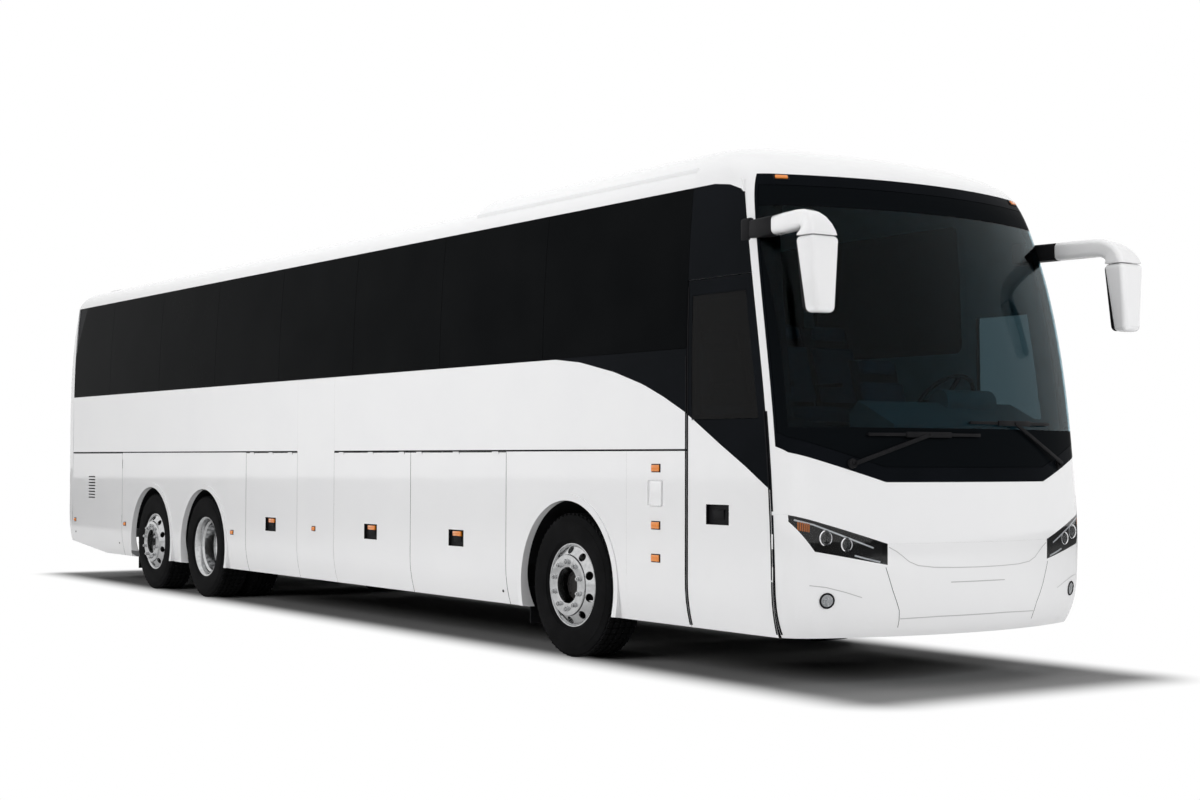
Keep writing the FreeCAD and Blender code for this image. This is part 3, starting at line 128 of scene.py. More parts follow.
@contextmanager
def editing(piece: Piece, action: str = "SELECT",
            kind: str | None = None) -> Iterator[None]:
    """Opens a piece in edit mode and closes it again.

    Args:
        piece: The piece to edit.
        action: SELECT or DESELECT, for all of it.
        kind: VERT, EDGE or FACE, where the kind that is selected changes.
    """
    pick(piece)
    bpy.ops.object.mode_set(mode="EDIT")
    if kind:
        bpy.ops.mesh.select_mode(type=kind)
    bpy.ops.mesh.select_all(action=action)
    yield
    bpy.ops.object.mode_set(mode="OBJECT")


def smooth_active(degrees: float) -> None:
    """Shades the active piece smooth where its edges turn less than an angle."""
    bpy.ops.object.shade_smooth_by_angle(angle=math.radians(degrees))


def apply_modifier(piece: Piece, kind: str, **values: object) -> None:
    """Adds a modifier to a piece, sets its values and applies it.

    Args:
        piece: The piece.
        kind: The modifier's type.
        **values: The modifier's settings.
    """
    pick(piece)
    modifier = piece.modifiers.new(kind.lower(), kind)
    for name, value in values.items():
        setattr(modifier, name, value)
    bpy.ops.object.modifier_apply(modifier=modifier.name)


def merge_and_smooth(piece: Piece, degrees: float) -> None:
    """Joins doubled points and shades the piece smooth up to an angle.

    Args:
        piece: The piece to shade.
        degrees: Edges sharper than this stay sharp.
    """
    pick(piece)
    if piece.data.has_custom_normals:
        bpy.ops.mesh.customdata_custom_splitnormals_clear()
    with editing(piece):
        bpy.ops.mesh.remove_doubles(threshold=MERGE_REACH)
    smooth_active(degrees)


def face_outwards(piece: Piece) -> None:
    """Turns every face of a closed piece outwards."""
    with editing(piece):
        bpy.ops.mesh.normals_make_consistent(inside=False)


def copy_of_node(node: str, name: str, degrees: float = 28.0) -> Piece:
    """Copies a node's mesh into a new smooth-shaded piece.

    Args:
        node: The node to copy.
        name: The new piece's name.
        degrees: Edges sharper than this stay sharp.

    Returns:
        The new piece, which rides on nothing yet.
    """
    mesh = frame["nodes"][node].data.copy()
    mesh.materials.clear()
    piece = bpy.data.objects.new(name, mesh)
    bpy.context.scene.collection.objects.link(piece)
    merge_and_smooth(piece, degrees)
    apply_modifier(piece, "WEIGHTED_NORMAL", keep_sharp=True)
    return piece


@cache
def material_of(finish: "Coating | TintedGlass") -> bpy.types.Material:
    """The material of a finish, which is made at its first use."""
    return finish.build()


def give_finish(piece: Piece, finish: "Coating | TintedGlass") -> None:
    """Gives a piece one finish.

    Args:
        piece: The piece to dress.
        finish: Its finish.
    """
    piece.data.materials.clear()
    piece.data.materials.append(material_of(finish))


def draw_line(name: str, points: list[Point]) -> Piece:
    """Draws a chain of edges by extruding one point along a list of places.

    Args:
        name: The new piece's name.
        points: The places, in metres.

    Returns:
        The piece, in edit mode with its last point selected.
    """
    clear_selection()
    bpy.ops.mesh.primitive_plane_add(size=0.001, location=points[0])
    piece = bpy.context.object
    piece.name = name
    bpy.ops.object.transform_apply(location=True)
    bpy.ops.object.mode_set(mode="EDIT")
    bpy.ops.mesh.select_mode(type="VERT")
    bpy.ops.mesh.select_all(action="SELECT")
    bpy.ops.mesh.merge(type="CENTER")
    for here, after in zip(points, points[1:]):
        step = Vector(after) - Vector(here)
        bpy.ops.mesh.extrude_vertices_move(TRANSFORM_OT_translate={"value": step})
    return piece


def turn_section(name: str, section: list[tuple[float, float]], steps: int,
                 degrees: float = 32.0) -> Piece:
    """Spins a section of places across and radii about the Y axis through the origin.

    Args:
        name: The new piece's name.
        section: Pairs of a place along Y and a radius, in metres.
        steps: How many steps a whole turn takes.
        degrees: Edges sharper than this stay sharp.

    Returns:
        The turned piece.
    """
    piece = draw_line(name, [(0.0, across, radius) for across, radius in section])
    bpy.ops.mesh.select_all(action="SELECT")
    bpy.ops.mesh.spin(steps=steps, angle=2 * math.pi, center=(0, 0, 0), axis=LEFTWARDS)
    bpy.ops.mesh.select_all(action="SELECT")
    bpy.ops.mesh.remove_doubles(threshold=MERGE_REACH)
    bpy.ops.mesh.normals_make_consistent(inside=False)
    bpy.ops.object.mode_set(mode="OBJECT")
    smooth_active(degrees)
    return piece


def repeat_round(piece: Piece, count: int) -> None:
    """Copies a piece's mesh round the Y axis through the origin.

    Args:
        piece: The piece, modelled in its first place.
        count: How many copies a whole turn holds.
    """
    share = (count - 1) / count
    with editing(piece):
        bpy.ops.mesh.spin(steps=count - 1, dupli=True, angle=2 * math.pi * share,
                          center=(0, 0, 0), axis=LEFTWARDS)


def add_block(name: str, centre: Point, size: Point, bevel: float = 0.0,
              segments: int = 2) -> Piece:
    """Adds a block with eased edges.

    Args:
        name: The new piece's name.
        centre: Its middle.
        size: Its length along each axis.
        bevel: How far its edges are eased.
        segments: How many faces each eased edge has.

    Returns:
        The block, settled.
    """
    clear_selection()
    bpy.ops.mesh.primitive_cube_add(size=1.0, location=centre)
    block = bpy.context.object
    block.name = name
    block.scale = size
    settle(block)
    if bevel:
        ease_edges(block, bevel, segments)
    return block


def add_drum(name: str, centre: Point, radius: float, length: float, way: Point,
             vertices: int = 32, bevel: float = 0.0) -> Piece:
    """Adds a drum with eased rims.

    Args:
        name: The new piece's name.
        centre: Its middle.
        radius: Its radius.
        length: Its length.
        way: The direction of its axis.
        vertices: How many sides it has.
        bevel: How far its rims are eased.

    Returns:
        The drum, settled.
    """
    clear_selection()
    bpy.ops.mesh.primitive_cylinder_add(vertices=vertices, radius=radius, depth=length,
                                        location=centre,
                                        rotation=Vector(way).to_track_quat("Z", "Y").to_euler())
    drum = bpy.context.object
    drum.name = name
    settle(drum)
    if bevel:
        ease_edges(drum, bevel, 2)
    smooth_active(32.0)
    return drum


def add_ring(centre: Point, turn: Point, radius: float, thickness: float,
             steps: int) -> Piece:
    """Adds a round ring.

    Args:
        centre: Its middle.
        turn: Its rotation from lying flat, in radians.
        radius: Its radius, to the middle of its section.
        thickness: The radius of its section.
        steps: How many sides it has.

    Returns:
        The ring, settled.
    """
    clear_selection()
    bpy.ops.mesh.primitive_torus_add(location=centre, rotation=turn, major_radius=radius,
                                     minor_radius=thickness, major_segments=steps, minor_segments=10)
    ring = settle(bpy.context.object)
    bpy.ops.object.shade_smooth()
    return ring


def ease_edges(piece: Piece, width: float, segments: int,
               degrees: float = 35.0) -> None:
    """Bevels the edges that are sharper than an angle.

    Args:
        piece: The piece.
        width: The bevel's width.
        segments: How many faces each bevel has.
        degrees: The smallest turn that is bevelled.
    """
    apply_modifier(piece, "BEVEL", width=width, segments=segments, limit_method="ANGLE",
                   angle_limit=math.radians(degrees), harden_normals=False)
    smooth_active(degrees)


def round_edges(piece: Piece, chosen: Callable[[bpy.types.MeshEdge], bool],
                radius: float, segments: int) -> None:
    """Rounds the edges that pass a test.

    Args:
        piece: The piece.
        chosen: The test, which gets each edge in turn.
        radius: The edges' radius.
        segments: How many faces each round edge has.
    """
    with editing(piece, "DESELECT", "EDGE"):
        pass
    for edge in piece.data.edges:
        edge.select = chosen(edge)
    bpy.ops.object.mode_set(mode="EDIT")
    bpy.ops.mesh.bevel(offset=radius, segments=segments)
    bpy.ops.object.mode_set(mode="OBJECT")


def round_corners(plate: Piece, axis: int, radius: float, segments: int) -> None:
    """Rounds the four corners of a plate.

    Args:
        plate: The plate.
        axis: The axis that the plate faces along.
        radius: The corners' radius.
        segments: How many faces each corner has.
    """
    def runs_through(edge: bpy.types.MeshEdge) -> bool:
        one, two = (plate.data.vertices[index].co for index in edge.vertices)
        run = [abs(part) for part in one - two]
        return run[axis] > sum(run) - run[axis]

    round_edges(plate, runs_through, radius, segments)
    smooth_active(35.0)


def cut_away(piece: Piece, cutter: Piece) -> None:
    """Cuts one piece by another closed one and removes the cutter."""
    apply_modifier(piece, "BOOLEAN", operation="DIFFERENCE", solver="EXACT", object=cutter)
    bpy.data.objects.remove(cutter)


def join_pieces(name: str, pieces: list[Piece]) -> Piece:
    """Joins pieces into one.

    Args:
        name: The joined piece's name.
        pieces: The pieces, the first of which takes in the rest.

    Returns:
        The joined piece.
    """
    clear_selection()
    for piece in pieces:
        piece.select_set(True)
    bpy.context.view_layer.objects.active = pieces[0]
    if len(pieces) > 1:
        bpy.ops.object.join()
    whole = bpy.context.view_layer.objects.active
    whole.name = name
    return whole


def copy_piece(piece: Piece, name: str, move: Point,
               turn: float = 0.0) -> Piece:
    """Copies a piece with its own mesh, turned about Z and moved.

    Args:
        piece: The piece to copy.
        name: The copy's name.
        move: How far it is moved.
        turn: The turn about Z through the origin, in radians.

    Returns:
        The settled copy.
    """
    copy = bpy.data.objects.new(name, piece.data.copy())
    bpy.context.scene.collection.objects.link(copy)
    copy.rotation_euler = (0.0, 0.0, turn)
    copy.location = move
    return settle(copy)


def seat(piece: Piece, body: str, *nodes: str) -> Piece:
    """Lets a finished piece ride on a body and stand for nodes.

    Args:
        piece: The piece.
        body: The body that carries it.
        *nodes: The nodes that it stands for.

    Returns:
        The same piece.
    """
    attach(piece, body)
    if nodes:
        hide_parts(*nodes)
    log.info("%s: %d faces", piece.name, len(piece.data.polygons))
    return piece


def fit(name: str, parts: list[Piece], finish: "Coating | TintedGlass",
        body: str = "body", nodes: tuple[str, ...] = (), mirrored: bool = False) -> Piece:
    """Joins parts, gives them a finish and seats them on a body.

    Args:
        name: The joined piece's name.
        parts: The parts, which may be one.
        finish: Their finish.
        body: The body that carries them.
        nodes: The nodes that the piece stands for.
        mirrored: Whether the mirror image across the bus is added.

    Returns:
        The seated piece.
    """
    whole = join_pieces(name, parts)
    if mirrored:
        mirror_across(whole)
    give_finish(whole, finish)
    return seat(whole, body, *nodes)


def drop_patterns(*patterns: Piece) -> None:
    """Removes the pieces that were only modelled to be copied."""
    for pattern in patterns:
        bpy.data.objects.remove(pattern)


def split_skin(piece: Piece, outer: bpy.types.Material, layout: "Layout") -> None:
    """Gives a panel's outside, inside and edges their own materials, by the faces' normals.

    Args:
        piece: The panel.
        outer: The material of what faces outwards.
        layout: The places of the axles, round which arch lips keep the outer material.
    """
    mesh = piece.data
    mesh.materials.clear()
    for material in (outer, material_of(LINING), material_of(RUBBER)):
        mesh.materials.append(material)
    for face in mesh.polygons:
        spot, normal = face.center, face.normal
        spine = min(max(spot.x, layout.spine[0]), layout.spine[1])
        away = Vector((spot.x - spine, spot.y, spot.z - layout.spine_z)).normalized()
        lean = normal.dot(away)
        near_arch = any(math.hypot(spot.x - x, spot.z - layout.wheel_z) < layout.arch_reach
                        for x in layout.axle_places)
        if abs(spot.y) > layout.half_width - 0.014 and spot.z < layout.spine_z and (
                near_arch or abs(normal.y) > 0.5):
            face.material_index = 0
        elif near_arch and lean > -LEAN_LIMIT:
            face.material_index = 0
        else:
            face.material_index = 0 if lean > LEAN_LIMIT else 1 if lean < -LEAN_LIMIT else 2


trees: dict[str, BVHTree] = {}


def meet(skin: Piece, start: Point, way: Point) -> tuple[Vector, Vector] | None:
    """Finds where a straight line first meets a piece, if it does.

    Args:
        skin: The piece, whose shape isn't changed after its first use here.
        start: Where the line starts.
        way: The line's direction.

    Returns:
        The place and the face's normal, or None.
    """
    if skin.name not in trees:
        mesh, matrix = skin.data, skin.matrix_world
        trees[skin.name] = BVHTree.FromPolygons([matrix @ vertex.co for vertex in mesh.vertices],
                                                [tuple(face.vertices) for face in mesh.polygons])
    place, normal, _, _ = trees[skin.name].ray_cast(Vector(start), Vector(way))
    return None if place is None else (place, normal)


def cast(skin: Piece, start: Point, way: Point) -> Vector:
    """Finds where a straight line first meets a piece.

    Args:
        skin: The piece.
        start: Where the line starts.
        way: The line's direction.

    Returns:
        The place on the piece.

    Raises:
        ValueError: If the line misses the piece.
    """
    met = meet(skin, start, way)
    if met is None:
        raise ValueError(f"{skin.name} isn't met from {tuple(start)}")
    return met[0]


def bridge_rows(name: str, rows: list[list[Point]]) -> Piece:
    """Draws two chains of places and fills the strip between them.

    Args:
        name: The strip's name.
        rows: The two chains, with as many places each.

    Returns:
        The flat strip.
    """
    sides = []
    for row in rows:
        sides.append(draw_line("row", row))
        bpy.ops.object.mode_set(mode="OBJECT")
    strip = join_pieces(name, sides)
    with editing(strip):
        bpy.ops.mesh.bridge_edge_loops()
    return strip


def lay_ribbon(name: str, skin: Piece, path: list[Point], width: float,
               height: float, way: Point) -> Piece:
    """Lays a raised strip along a path on a piece's skin.

    Args:
        name: The strip's name.
        skin: The piece that it lies on.
        path: Places outside the skin, one behind the other.
        width: The strip's width.
        height: How far it stands proud.
        way: The direction in which the path is dropped on the skin.

    Returns:
        The closed strip.
    """
    lift = Vector(way) * 0.0002
    rows = []
    for sign in (-0.5, 0.5):
        row = []
        for index, spot in enumerate(path):
            ahead = Vector(path[min(index + 1, len(path) - 1)])
            behind = Vector(path[max(index - 1, 0)])
            across = (ahead - behind).cross(Vector(way)).normalized() * width * sign
            row.append(tuple(cast(skin, Vector(spot) + across, way) - lift))
        rows.append(row)
    strip = bridge_rows(name, rows)
    face_outwards(strip)
    if strip.data.polygons[0].normal.dot(Vector(way)) > 0:
        strip.data.flip_normals()
    apply_modifier(strip, "SOLIDIFY", thickness=height, offset=1.0)
    smooth_active(40.0)
    return strip


def mirror_across(piece: Piece) -> None:
    """Adds a piece's mirror image across the bus."""
    apply_modifier(piece, "MIRROR", use_axis=(False, True, False), use_mirror_merge=False)
    face_outwards(piece)


# Materials


class Sheet:
    """One material's node tree, laid out on Object coordinates."""

    def __init__(self, name: str) -> None:
        """Starts a material with a Principled shader and Object coordinates."""
        self.material = bpy.data.materials.new(name)
        self.material.use_nodes = True
        self.tree = self.material.node_tree
        self.shader = self.tree.nodes["Principled BSDF"]
        self.place = self.tree.nodes.new("ShaderNodeTexCoord").outputs["Object"]

    def set(self, **values: object) -> None:
        """Sets the shader's own sockets, each named with underscores for spaces."""
        for name, value in values.items():
            self.shader.inputs[name.replace("_", " ")].default_value = value

    def plug(self, socket: Socket, value: object) -> None:
        """Links a socket to another, or sets its value."""
        if isinstance(value, Socket):
            self.tree.links.new(value, socket)
        else:
            socket.default_value = value

    def node(self, kind: str, **links: object) -> bpy.types.Node:
        """Adds a node and fills its inputs.

        Args:
            kind: The node's type.
            **links: Input names, with underscores for spaces, and values or sockets.

        Returns:
            The new node.
        """
        made = self.tree.nodes.new(kind)
        for name, value in links.items():
            self.plug(made.inputs[name.replace("_", " ")], value)
        return made

    def math(self, operation: str, first: object, second: object = 0.0) -> Socket:
        """Adds a Math node and returns its result."""
        made = self.tree.nodes.new("ShaderNodeMath")
        made.operation = operation
        for socket, value in zip(made.inputs, (first, second)):
            self.plug(socket, value)
        return made.outputs[0]

    def every(self, *shares: Socket) -> Socket:
        """The product of several shares, which is 1 where all of them are."""
        whole = shares[0]
        for share in shares[1:]:
            whole = self.math("MULTIPLY", whole, share)
        return whole

    def axes(self) -> bpy.types.bpy_prop_collection:
        """The three Object coordinates, each as a socket."""
        return self.node("ShaderNodeSeparateXYZ", Vector=self.place).outputs

    def noise(self, scale: float, detail: float = 3.0) -> Socket:
        """A noise value over the piece, at so many cells a metre."""
        return self.node("ShaderNodeTexNoise", Vector=self.place, Scale=scale, Detail=detail).outputs[0]

    def between(self, value: Socket, low: float, high: float) -> Socket:
        """Maps a noise value to a range of numbers."""
        made = self.node("ShaderNodeMapRange", Value=value, From_Min=0.3, From_Max=0.7,
                         To_Min=low, To_Max=high)
        return made.outputs[0]

    def mix(self, share: object, first: object, second: object) -> Socket:
        """Mixes two colours by a share.

        Args:
            share: A number or socket from 0 to 1.
            first: The colour at 0.
            second: The colour at 1.

        Returns:
            The mixed colour.
        """
        made = self.tree.nodes.new("ShaderNodeMix")
        made.data_type = "RGBA"
        for index, value in ((0, share), (6, first), (7, second)):
            self.plug(made.inputs[index], (*value, 1.0) if isinstance(value, tuple) else value)
        return made.outputs[2]

    def curve(self, value: Socket, points: Path) -> Socket:
        """Follows a curve drawn through points.

        Args:
            value: The value along the curve.
            points: Pairs of a value and the curve's height there, in rising order.

        Returns:
            The curve's height at the value.
        """
        lows = [min(pair[axis] for pair in points) for axis in (0, 1)]
        spans = [max(pair[axis] for pair in points) - low for axis, low in enumerate(lows)]
        share = self.node("ShaderNodeMapRange", Value=value, From_Min=lows[0],
                          From_Max=lows[0] + spans[0]).outputs[0]
        made = self.node("ShaderNodeFloatCurve", Value=share)
        drawn = made.mapping.curves[0].points
        placed = [((x - lows[0]) / spans[0], (y - lows[1]) / spans[1]) for x, y in points]
        drawn[0].location, drawn[1].location = placed[0], placed[-1]
        for place in placed[1:-1]:
            drawn.new(*place)
        for point in drawn:
            point.handle_type = "VECTOR"
        made.mapping.update()
        return self.math("ADD", self.math("MULTIPLY", made.outputs[0], spans[1]), lows[1])

    def feed(self, socket: str, value: Socket) -> None:
        """Links a value to one of the shader's sockets."""
        self.tree.links.new(value, self.shader.inputs[socket])

    def mottle(self, coating: "Coating", cloud: Socket) -> Socket:
        """A coating's colour, mottled by a cloud of noise."""
        return self.mix(cloud, coating.colour, coating.shade)

    def roughen(self, coating: "Coating") -> None:
        """Gives the shader a coating's roughness and the fine bump that goes with it."""
        fine = self.noise(coating.grain, 2.0)
        self.feed("Roughness", self.between(fine, *coating.roughness))
        bump = self.node("ShaderNodeBump", Height=fine, Strength=0.6, Distance=coating.depth)
        self.feed("Normal", bump.outputs[0])


@dataclass(frozen=True)
class Coating:
    """A paint or moulded surface with mottled colour, roughness and a fine grain."""

    name: str
    slot: str
    colour: Colour
    shade: Colour
    roughness: tuple[float, float]
    grain: float
    depth: float
    mottle: float = 1.5
    coat: float = 0.0
    metallic: float = 0.0
    specular: float = 0.5

    def build(self) -> bpy.types.Material:
        """Makes the material, on Object coordinates."""
        sheet = Sheet(self.name)
        sheet.set(Metallic=self.metallic, Coat_Weight=self.coat, Coat_Roughness=0.04,
                  Specular_IOR_Level=self.specular)
        sheet.feed("Base Color", sheet.mottle(self, sheet.between(sheet.noise(self.mottle, 5.0), 0.0, 1.0)))
        sheet.roughen(self)
        return sheet.material


@dataclass(frozen=True)
class BandPaint:
    """White paint with the black band round the side glass, which sweeps down over the door, and a thin
    near-black line of painted shade along the tops of the doors.
    """

    name: str
    white: Coating
    black: Coating
    low_edge: Path = ((-9.9, 2.116), (-0.156, 2.116), (0.163, 2.083), (0.590, 1.999), (0.928, 1.904),
                      (1.160, 1.816), (1.396, 1.711), (1.773, 1.497), (2.020, 1.363), (2.239, 1.233),
                      (2.400, 1.140))
    high_edge: Path = ((1.300, 3.176), (1.640, 3.172), (1.800, 3.150), (1.920, 3.108),
                       (2.000, 3.030), (2.050, 2.930), (2.090, 2.780), (2.120, 2.500))
    rear_end: float = -10.742
    # The waist line is painted shade: a thin near-black line where the gap over the doors lies in shadow,
    # broken near the front axle and ending at the entrance door.
    waist: tuple[float, float] = (1.4645, 0.0062)
    waist_break: tuple[float, float] = (-0.0113, 0.380)
    waist_end: float = 1.418
    waist_colour: Point = (0.012, 0.012, 0.013)

    def build(self, axle_x: float) -> bpy.types.Material:
        """Makes the material.

        Args:
            axle_x: The front axle's place, from which the edges are measured.

        Returns:
            The material, on Object coordinates.
        """
        sheet = Sheet(self.name)
        sheet.set(Specular_IOR_Level=0.015, Coat_Roughness=0.04)
        axes = sheet.axes()
        x = sheet.math("SUBTRACT", axes[0], axle_x)
        band = sheet.every(sheet.math("GREATER_THAN", axes[2], sheet.curve(x, self.low_edge)),
                           sheet.math("LESS_THAN", axes[2], sheet.curve(x, self.high_edge)),
                           sheet.math("GREATER_THAN", x, self.rear_end))
        # Painted shade: a thin near-black line along the gap over the doors, without coat.
        from_shade_line = sheet.math("ABSOLUTE", sheet.math("SUBTRACT", axes[2], self.waist[0]))
        from_break = sheet.math("ABSOLUTE", sheet.math("SUBTRACT", axes[0], self.waist_break[0]))
        line = sheet.every(sheet.math("LESS_THAN", from_shade_line, self.waist[1]),
                           sheet.math("GREATER_THAN", from_break, self.waist_break[1]),
                           sheet.math("LESS_THAN", x, self.waist_end))
        cloud = sheet.between(sheet.noise(self.white.mottle, 5.0), 0.0, 1.0)
        panels = sheet.mix(band, sheet.mottle(self.white, cloud), sheet.mottle(self.black, cloud))
        sheet.feed("Base Color", sheet.mix(line, panels, self.waist_colour))
        sheet.feed("Coat Weight", sheet.math("SUBTRACT", 1.0, sheet.math("MAXIMUM", band, line)))
        sheet.roughen(self.white)
        return sheet.material


@dataclass(frozen=True)
class TintedGlass:
    """Dark glass that lets some light through."""

    name: str
    slot: str
    tint: Colour
    specular: float = 0.4
    roughness: float = 0.02
    ior: float = 1.45
    clear_heights: tuple[float, float] | None = None
    clear_half: float = 1.245
    border: Colour = (0.004, 0.005, 0.006)

    def build(self) -> bpy.types.Material:
        """Makes the material, with a black border round the clear part where heights are given."""
        sheet = Sheet(self.name)
        sheet.set(IOR=self.ior, Specular_IOR_Level=self.specular, Roughness=self.roughness)
        cloud = sheet.between(sheet.noise(0.8, 2.0), 0.0, 1.0)
        darker = tuple(0.9 * part for part in self.tint)
        tint = sheet.mix(cloud, self.tint, darker)
        if self.clear_heights is None:
            sheet.set(Transmission_Weight=1.0)
        else:
            axes = sheet.axes()
            low, high = self.clear_heights
            across = sheet.math("ABSOLUTE", axes[1])
            inside = sheet.every(sheet.math("GREATER_THAN", axes[2], low),
                                 sheet.math("LESS_THAN", axes[2], high),
                                 sheet.math("LESS_THAN", across, self.clear_half))
            sheet.feed("Transmission Weight", inside)
            tint = sheet.mix(inside, self.border, tint)
        sheet.feed("Base Color", tint)
        return sheet.material


PAINT = Coating("white_gloss_paint", "body_paint", (0.86, 0.86, 0.865), (0.84, 0.84, 0.85), (0.18, 0.26),
                420.0, 0.00004, coat=1.0, specular=0.06)
BLACK_GLOSS = Coating("black_gloss_band", "black_trim", (0.004, 0.005, 0.006), (0.006, 0.007, 0.009),
                      (0.08, 0.12), 300.0, 0.00002, specular=0.004)
BAND_PAINT = BandPaint("white_paint_black_band", PAINT, BLACK_GLOSS)
LINING = Coating("grey_lining", "body_paint", (0.20, 0.205, 0.21), (0.25, 0.255, 0.26), (0.7, 0.9),
                 700.0, 0.0003, mottle=5.0, specular=0.2)
BLACK_PLASTIC = Coating("black_moulded_plastic", "black_plastic", (0.007, 0.007, 0.008),
                        (0.012, 0.012, 0.013), (0.42, 0.6), 900.0, 0.0002, mottle=12.0,
                        specular=0.08)
CHASSIS = Coating("black_chassis_paint", "frame_steel", (0.014, 0.014, 0.015), (0.03, 0.028, 0.026),
                  (0.4, 0.7), 120.0, 0.0004, mottle=6.0, specular=0.12)
ALLOY = Coating("polished_alloy", "wheel_alloy", (0.62, 0.625, 0.63), (0.50, 0.505, 0.51), (0.12, 0.22),
                260.0, 0.00005, mottle=30.0, metallic=1.0)
CHROME = Coating("bright_reflector", "lamp_clear", (0.9, 0.9, 0.91), (0.84, 0.84, 0.86), (0.04, 0.09),
                 300.0, 0.00002, mottle=20.0, metallic=1.0)
TYRE = Coating("tyre_rubber", "tyre_rubber", (0.0045, 0.0046, 0.0048), (0.0075, 0.0075, 0.008), (0.6, 0.8),
               350.0, 0.0004, mottle=9.0, specular=0.035)
RUBBER = Coating("black_seal_rubber", "rubber", (0.006, 0.006, 0.007), (0.011, 0.011, 0.012), (0.6, 0.8),
                 600.0, 0.0002, mottle=10.0, specular=0.05)
DASH = Coating("dashboard_grey", "black_plastic", (0.075, 0.085, 0.09), (0.10, 0.11, 0.115), (0.6, 0.8),
               800.0, 0.0003, mottle=8.0, specular=0.2)
IRON = Coating("grey_casting", "engine_iron", (0.2, 0.2, 0.2), (0.13, 0.125, 0.12), (0.5, 0.75),
               240.0, 0.0008, mottle=8.0, metallic=0.3)
CLOTH = Coating("seat_cloth", "seat_cloth", (0.030, 0.036, 0.052), (0.044, 0.052, 0.072), (0.85, 0.98),
                1400.0, 0.0006, mottle=40.0, specular=0.15)
SIDE_GLASS = Coating("side_glass_black", "black_glass", (0.003, 0.0035, 0.004), (0.005, 0.0055, 0.006),
                     (0.03, 0.06), 60.0, 0.00001, specular=0.006)
CAB_GLASS = TintedGlass("cab_side_glass", "black_glass", (0.11, 0.12, 0.125), specular=0.02, ior=1.15)
SCREEN_GLASS = TintedGlass("windscreen_glass", "black_glass", (0.25, 0.45, 0.52), specular=0.02, ior=1.15,
                           clear_heights=(1.602, 2.990))
REFLECTOR = Coating("ribbed_reflector", "lamp_clear", (0.42, 0.43, 0.44), (0.26, 0.27, 0.28), (0.15, 0.3),
                    90.0, 0.0006, mottle=60.0, metallic=0.6)
SHADE_LINE = Coating("panel_shade_line", "body_paint", (0.52, 0.52, 0.525), (0.46, 0.46, 0.465), (0.4, 0.55),
                     300.0, 0.00004, specular=0.1)
CLEAR_LENS = TintedGlass("clear_lens", "lamp_clear", (0.93, 0.95, 0.97), specular=0.4)
LIGHT_STRIP = Coating("white_light_guide", "lamp_clear", (0.9, 0.92, 0.94), (0.82, 0.85, 0.88), (0.15, 0.3),
                      400.0, 0.00005, mottle=20.0)
MIRROR_GLASS = Coating("mirror_glass", "black_glass", (0.72, 0.74, 0.76), (0.68, 0.7, 0.72), (0.01, 0.03),
                       40.0, 0.00001, mottle=2.0, metallic=1.0)
AMBER_LENS = Coating("amber_lens", "lamp_amber", (0.85, 0.25, 0.01), (0.75, 0.2, 0.01), (0.1, 0.2),
                     500.0, 0.0002, coat=1.0)
RED_LENS = Coating("red_lens", "lamp_red", (0.4, 0.008, 0.008), (0.32, 0.006, 0.006), (0.1, 0.2),
                   500.0, 0.0002, coat=1.0)


# The bus's own sizes, read from the frame


@dataclass(frozen=True)
class Layout:
    """Places that several pieces share, most of them read from the frame."""

    front_axle_x: float
    drive_axle_x: float
    tag_axle_x: float
    wheel_y: float
    wheel_z: float
    half_width: float
    nose_x: float
    tail_x: float
    spine_z: float = 1.9
    arch_reach: float = 0.80

    @property
    def spine(self) -> tuple[float, float]:
        """The ends of the line inside the cabin that panels face away from."""
        return (self.tail_x + 2.6, self.nose_x - 2.4)

    @property
    def axle_places(self) -> tuple[float, float, float]:
        """The three axles' places along the bus."""
        return (self.front_axle_x, self.drive_axle_x, self.tag_axle_x)

    def at(self, x: float, y: float, z: float) -> Point:
        """A place given from the front axle, in the frame's own X."""
        return (self.front_axle_x + x, y, z)

    @classmethod
    def from_frame(cls) -> "Layout":
        """Reads the layout from the nodes' boxes."""
        def middle(node: str, axis: int) -> float:
            low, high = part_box(node)
            return (low[axis] + high[axis]) / 2

        return cls(
            front_axle_x=middle("front_tyre_left", 0),
            drive_axle_x=middle("drive_tyres_left", 0),
            tag_axle_x=middle("tag_tyre_left", 0),
            wheel_y=middle("front_tyre_left", 1),
            wheel_z=middle("front_tyre_left", 2),
            half_width=1.295,
            nose_x=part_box("bumper")[1].x,
            tail_x=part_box("rear_cap")[0].x,
        )


@dataclass(frozen=True)
class PhotoCamera:
    """The camera that took the photograph, fitted to the bus."""

    axle_x: float
    place: Point = (11.041, -8.497, 1.399)
    yaw: float = math.radians(34.132)
    pitch: float = math.radians(1.846)
    roll: float = math.radians(0.186)
    lens: float = 55.63
    sensor: float = 36.0

    def build(self) -> None:
        """Adds the camera and makes it the scene's."""
        data = bpy.data.cameras.new("photo_camera")
        data.lens = self.lens
        data.sensor_width = self.sensor
        data.clip_end = 500.0
        camera = bpy.data.objects.new("photo_camera", data)
        bpy.context.scene.collection.objects.link(camera)
        ahead = Vector((-math.cos(self.yaw) * math.cos(self.pitch),
                        math.sin(self.yaw) * math.cos(self.pitch), math.sin(self.pitch)))
        right = ahead.cross(Vector((0, 0, 1))).normalized()
        up = right.cross(ahead)
        turned_right = right * math.cos(self.roll) + up * math.sin(self.roll)
        turned_up = up * math.cos(self.roll) - right * math.sin(self.roll)
        axes = Matrix((turned_right, turned_up, -ahead)).transposed().to_4x4()
        place = Vector(self.place) + Vector((self.axle_x, 0.0, 0.0))
        camera.matrix_world = Matrix.Translation(place) @ axes
        bpy.context.scene.camera = camera


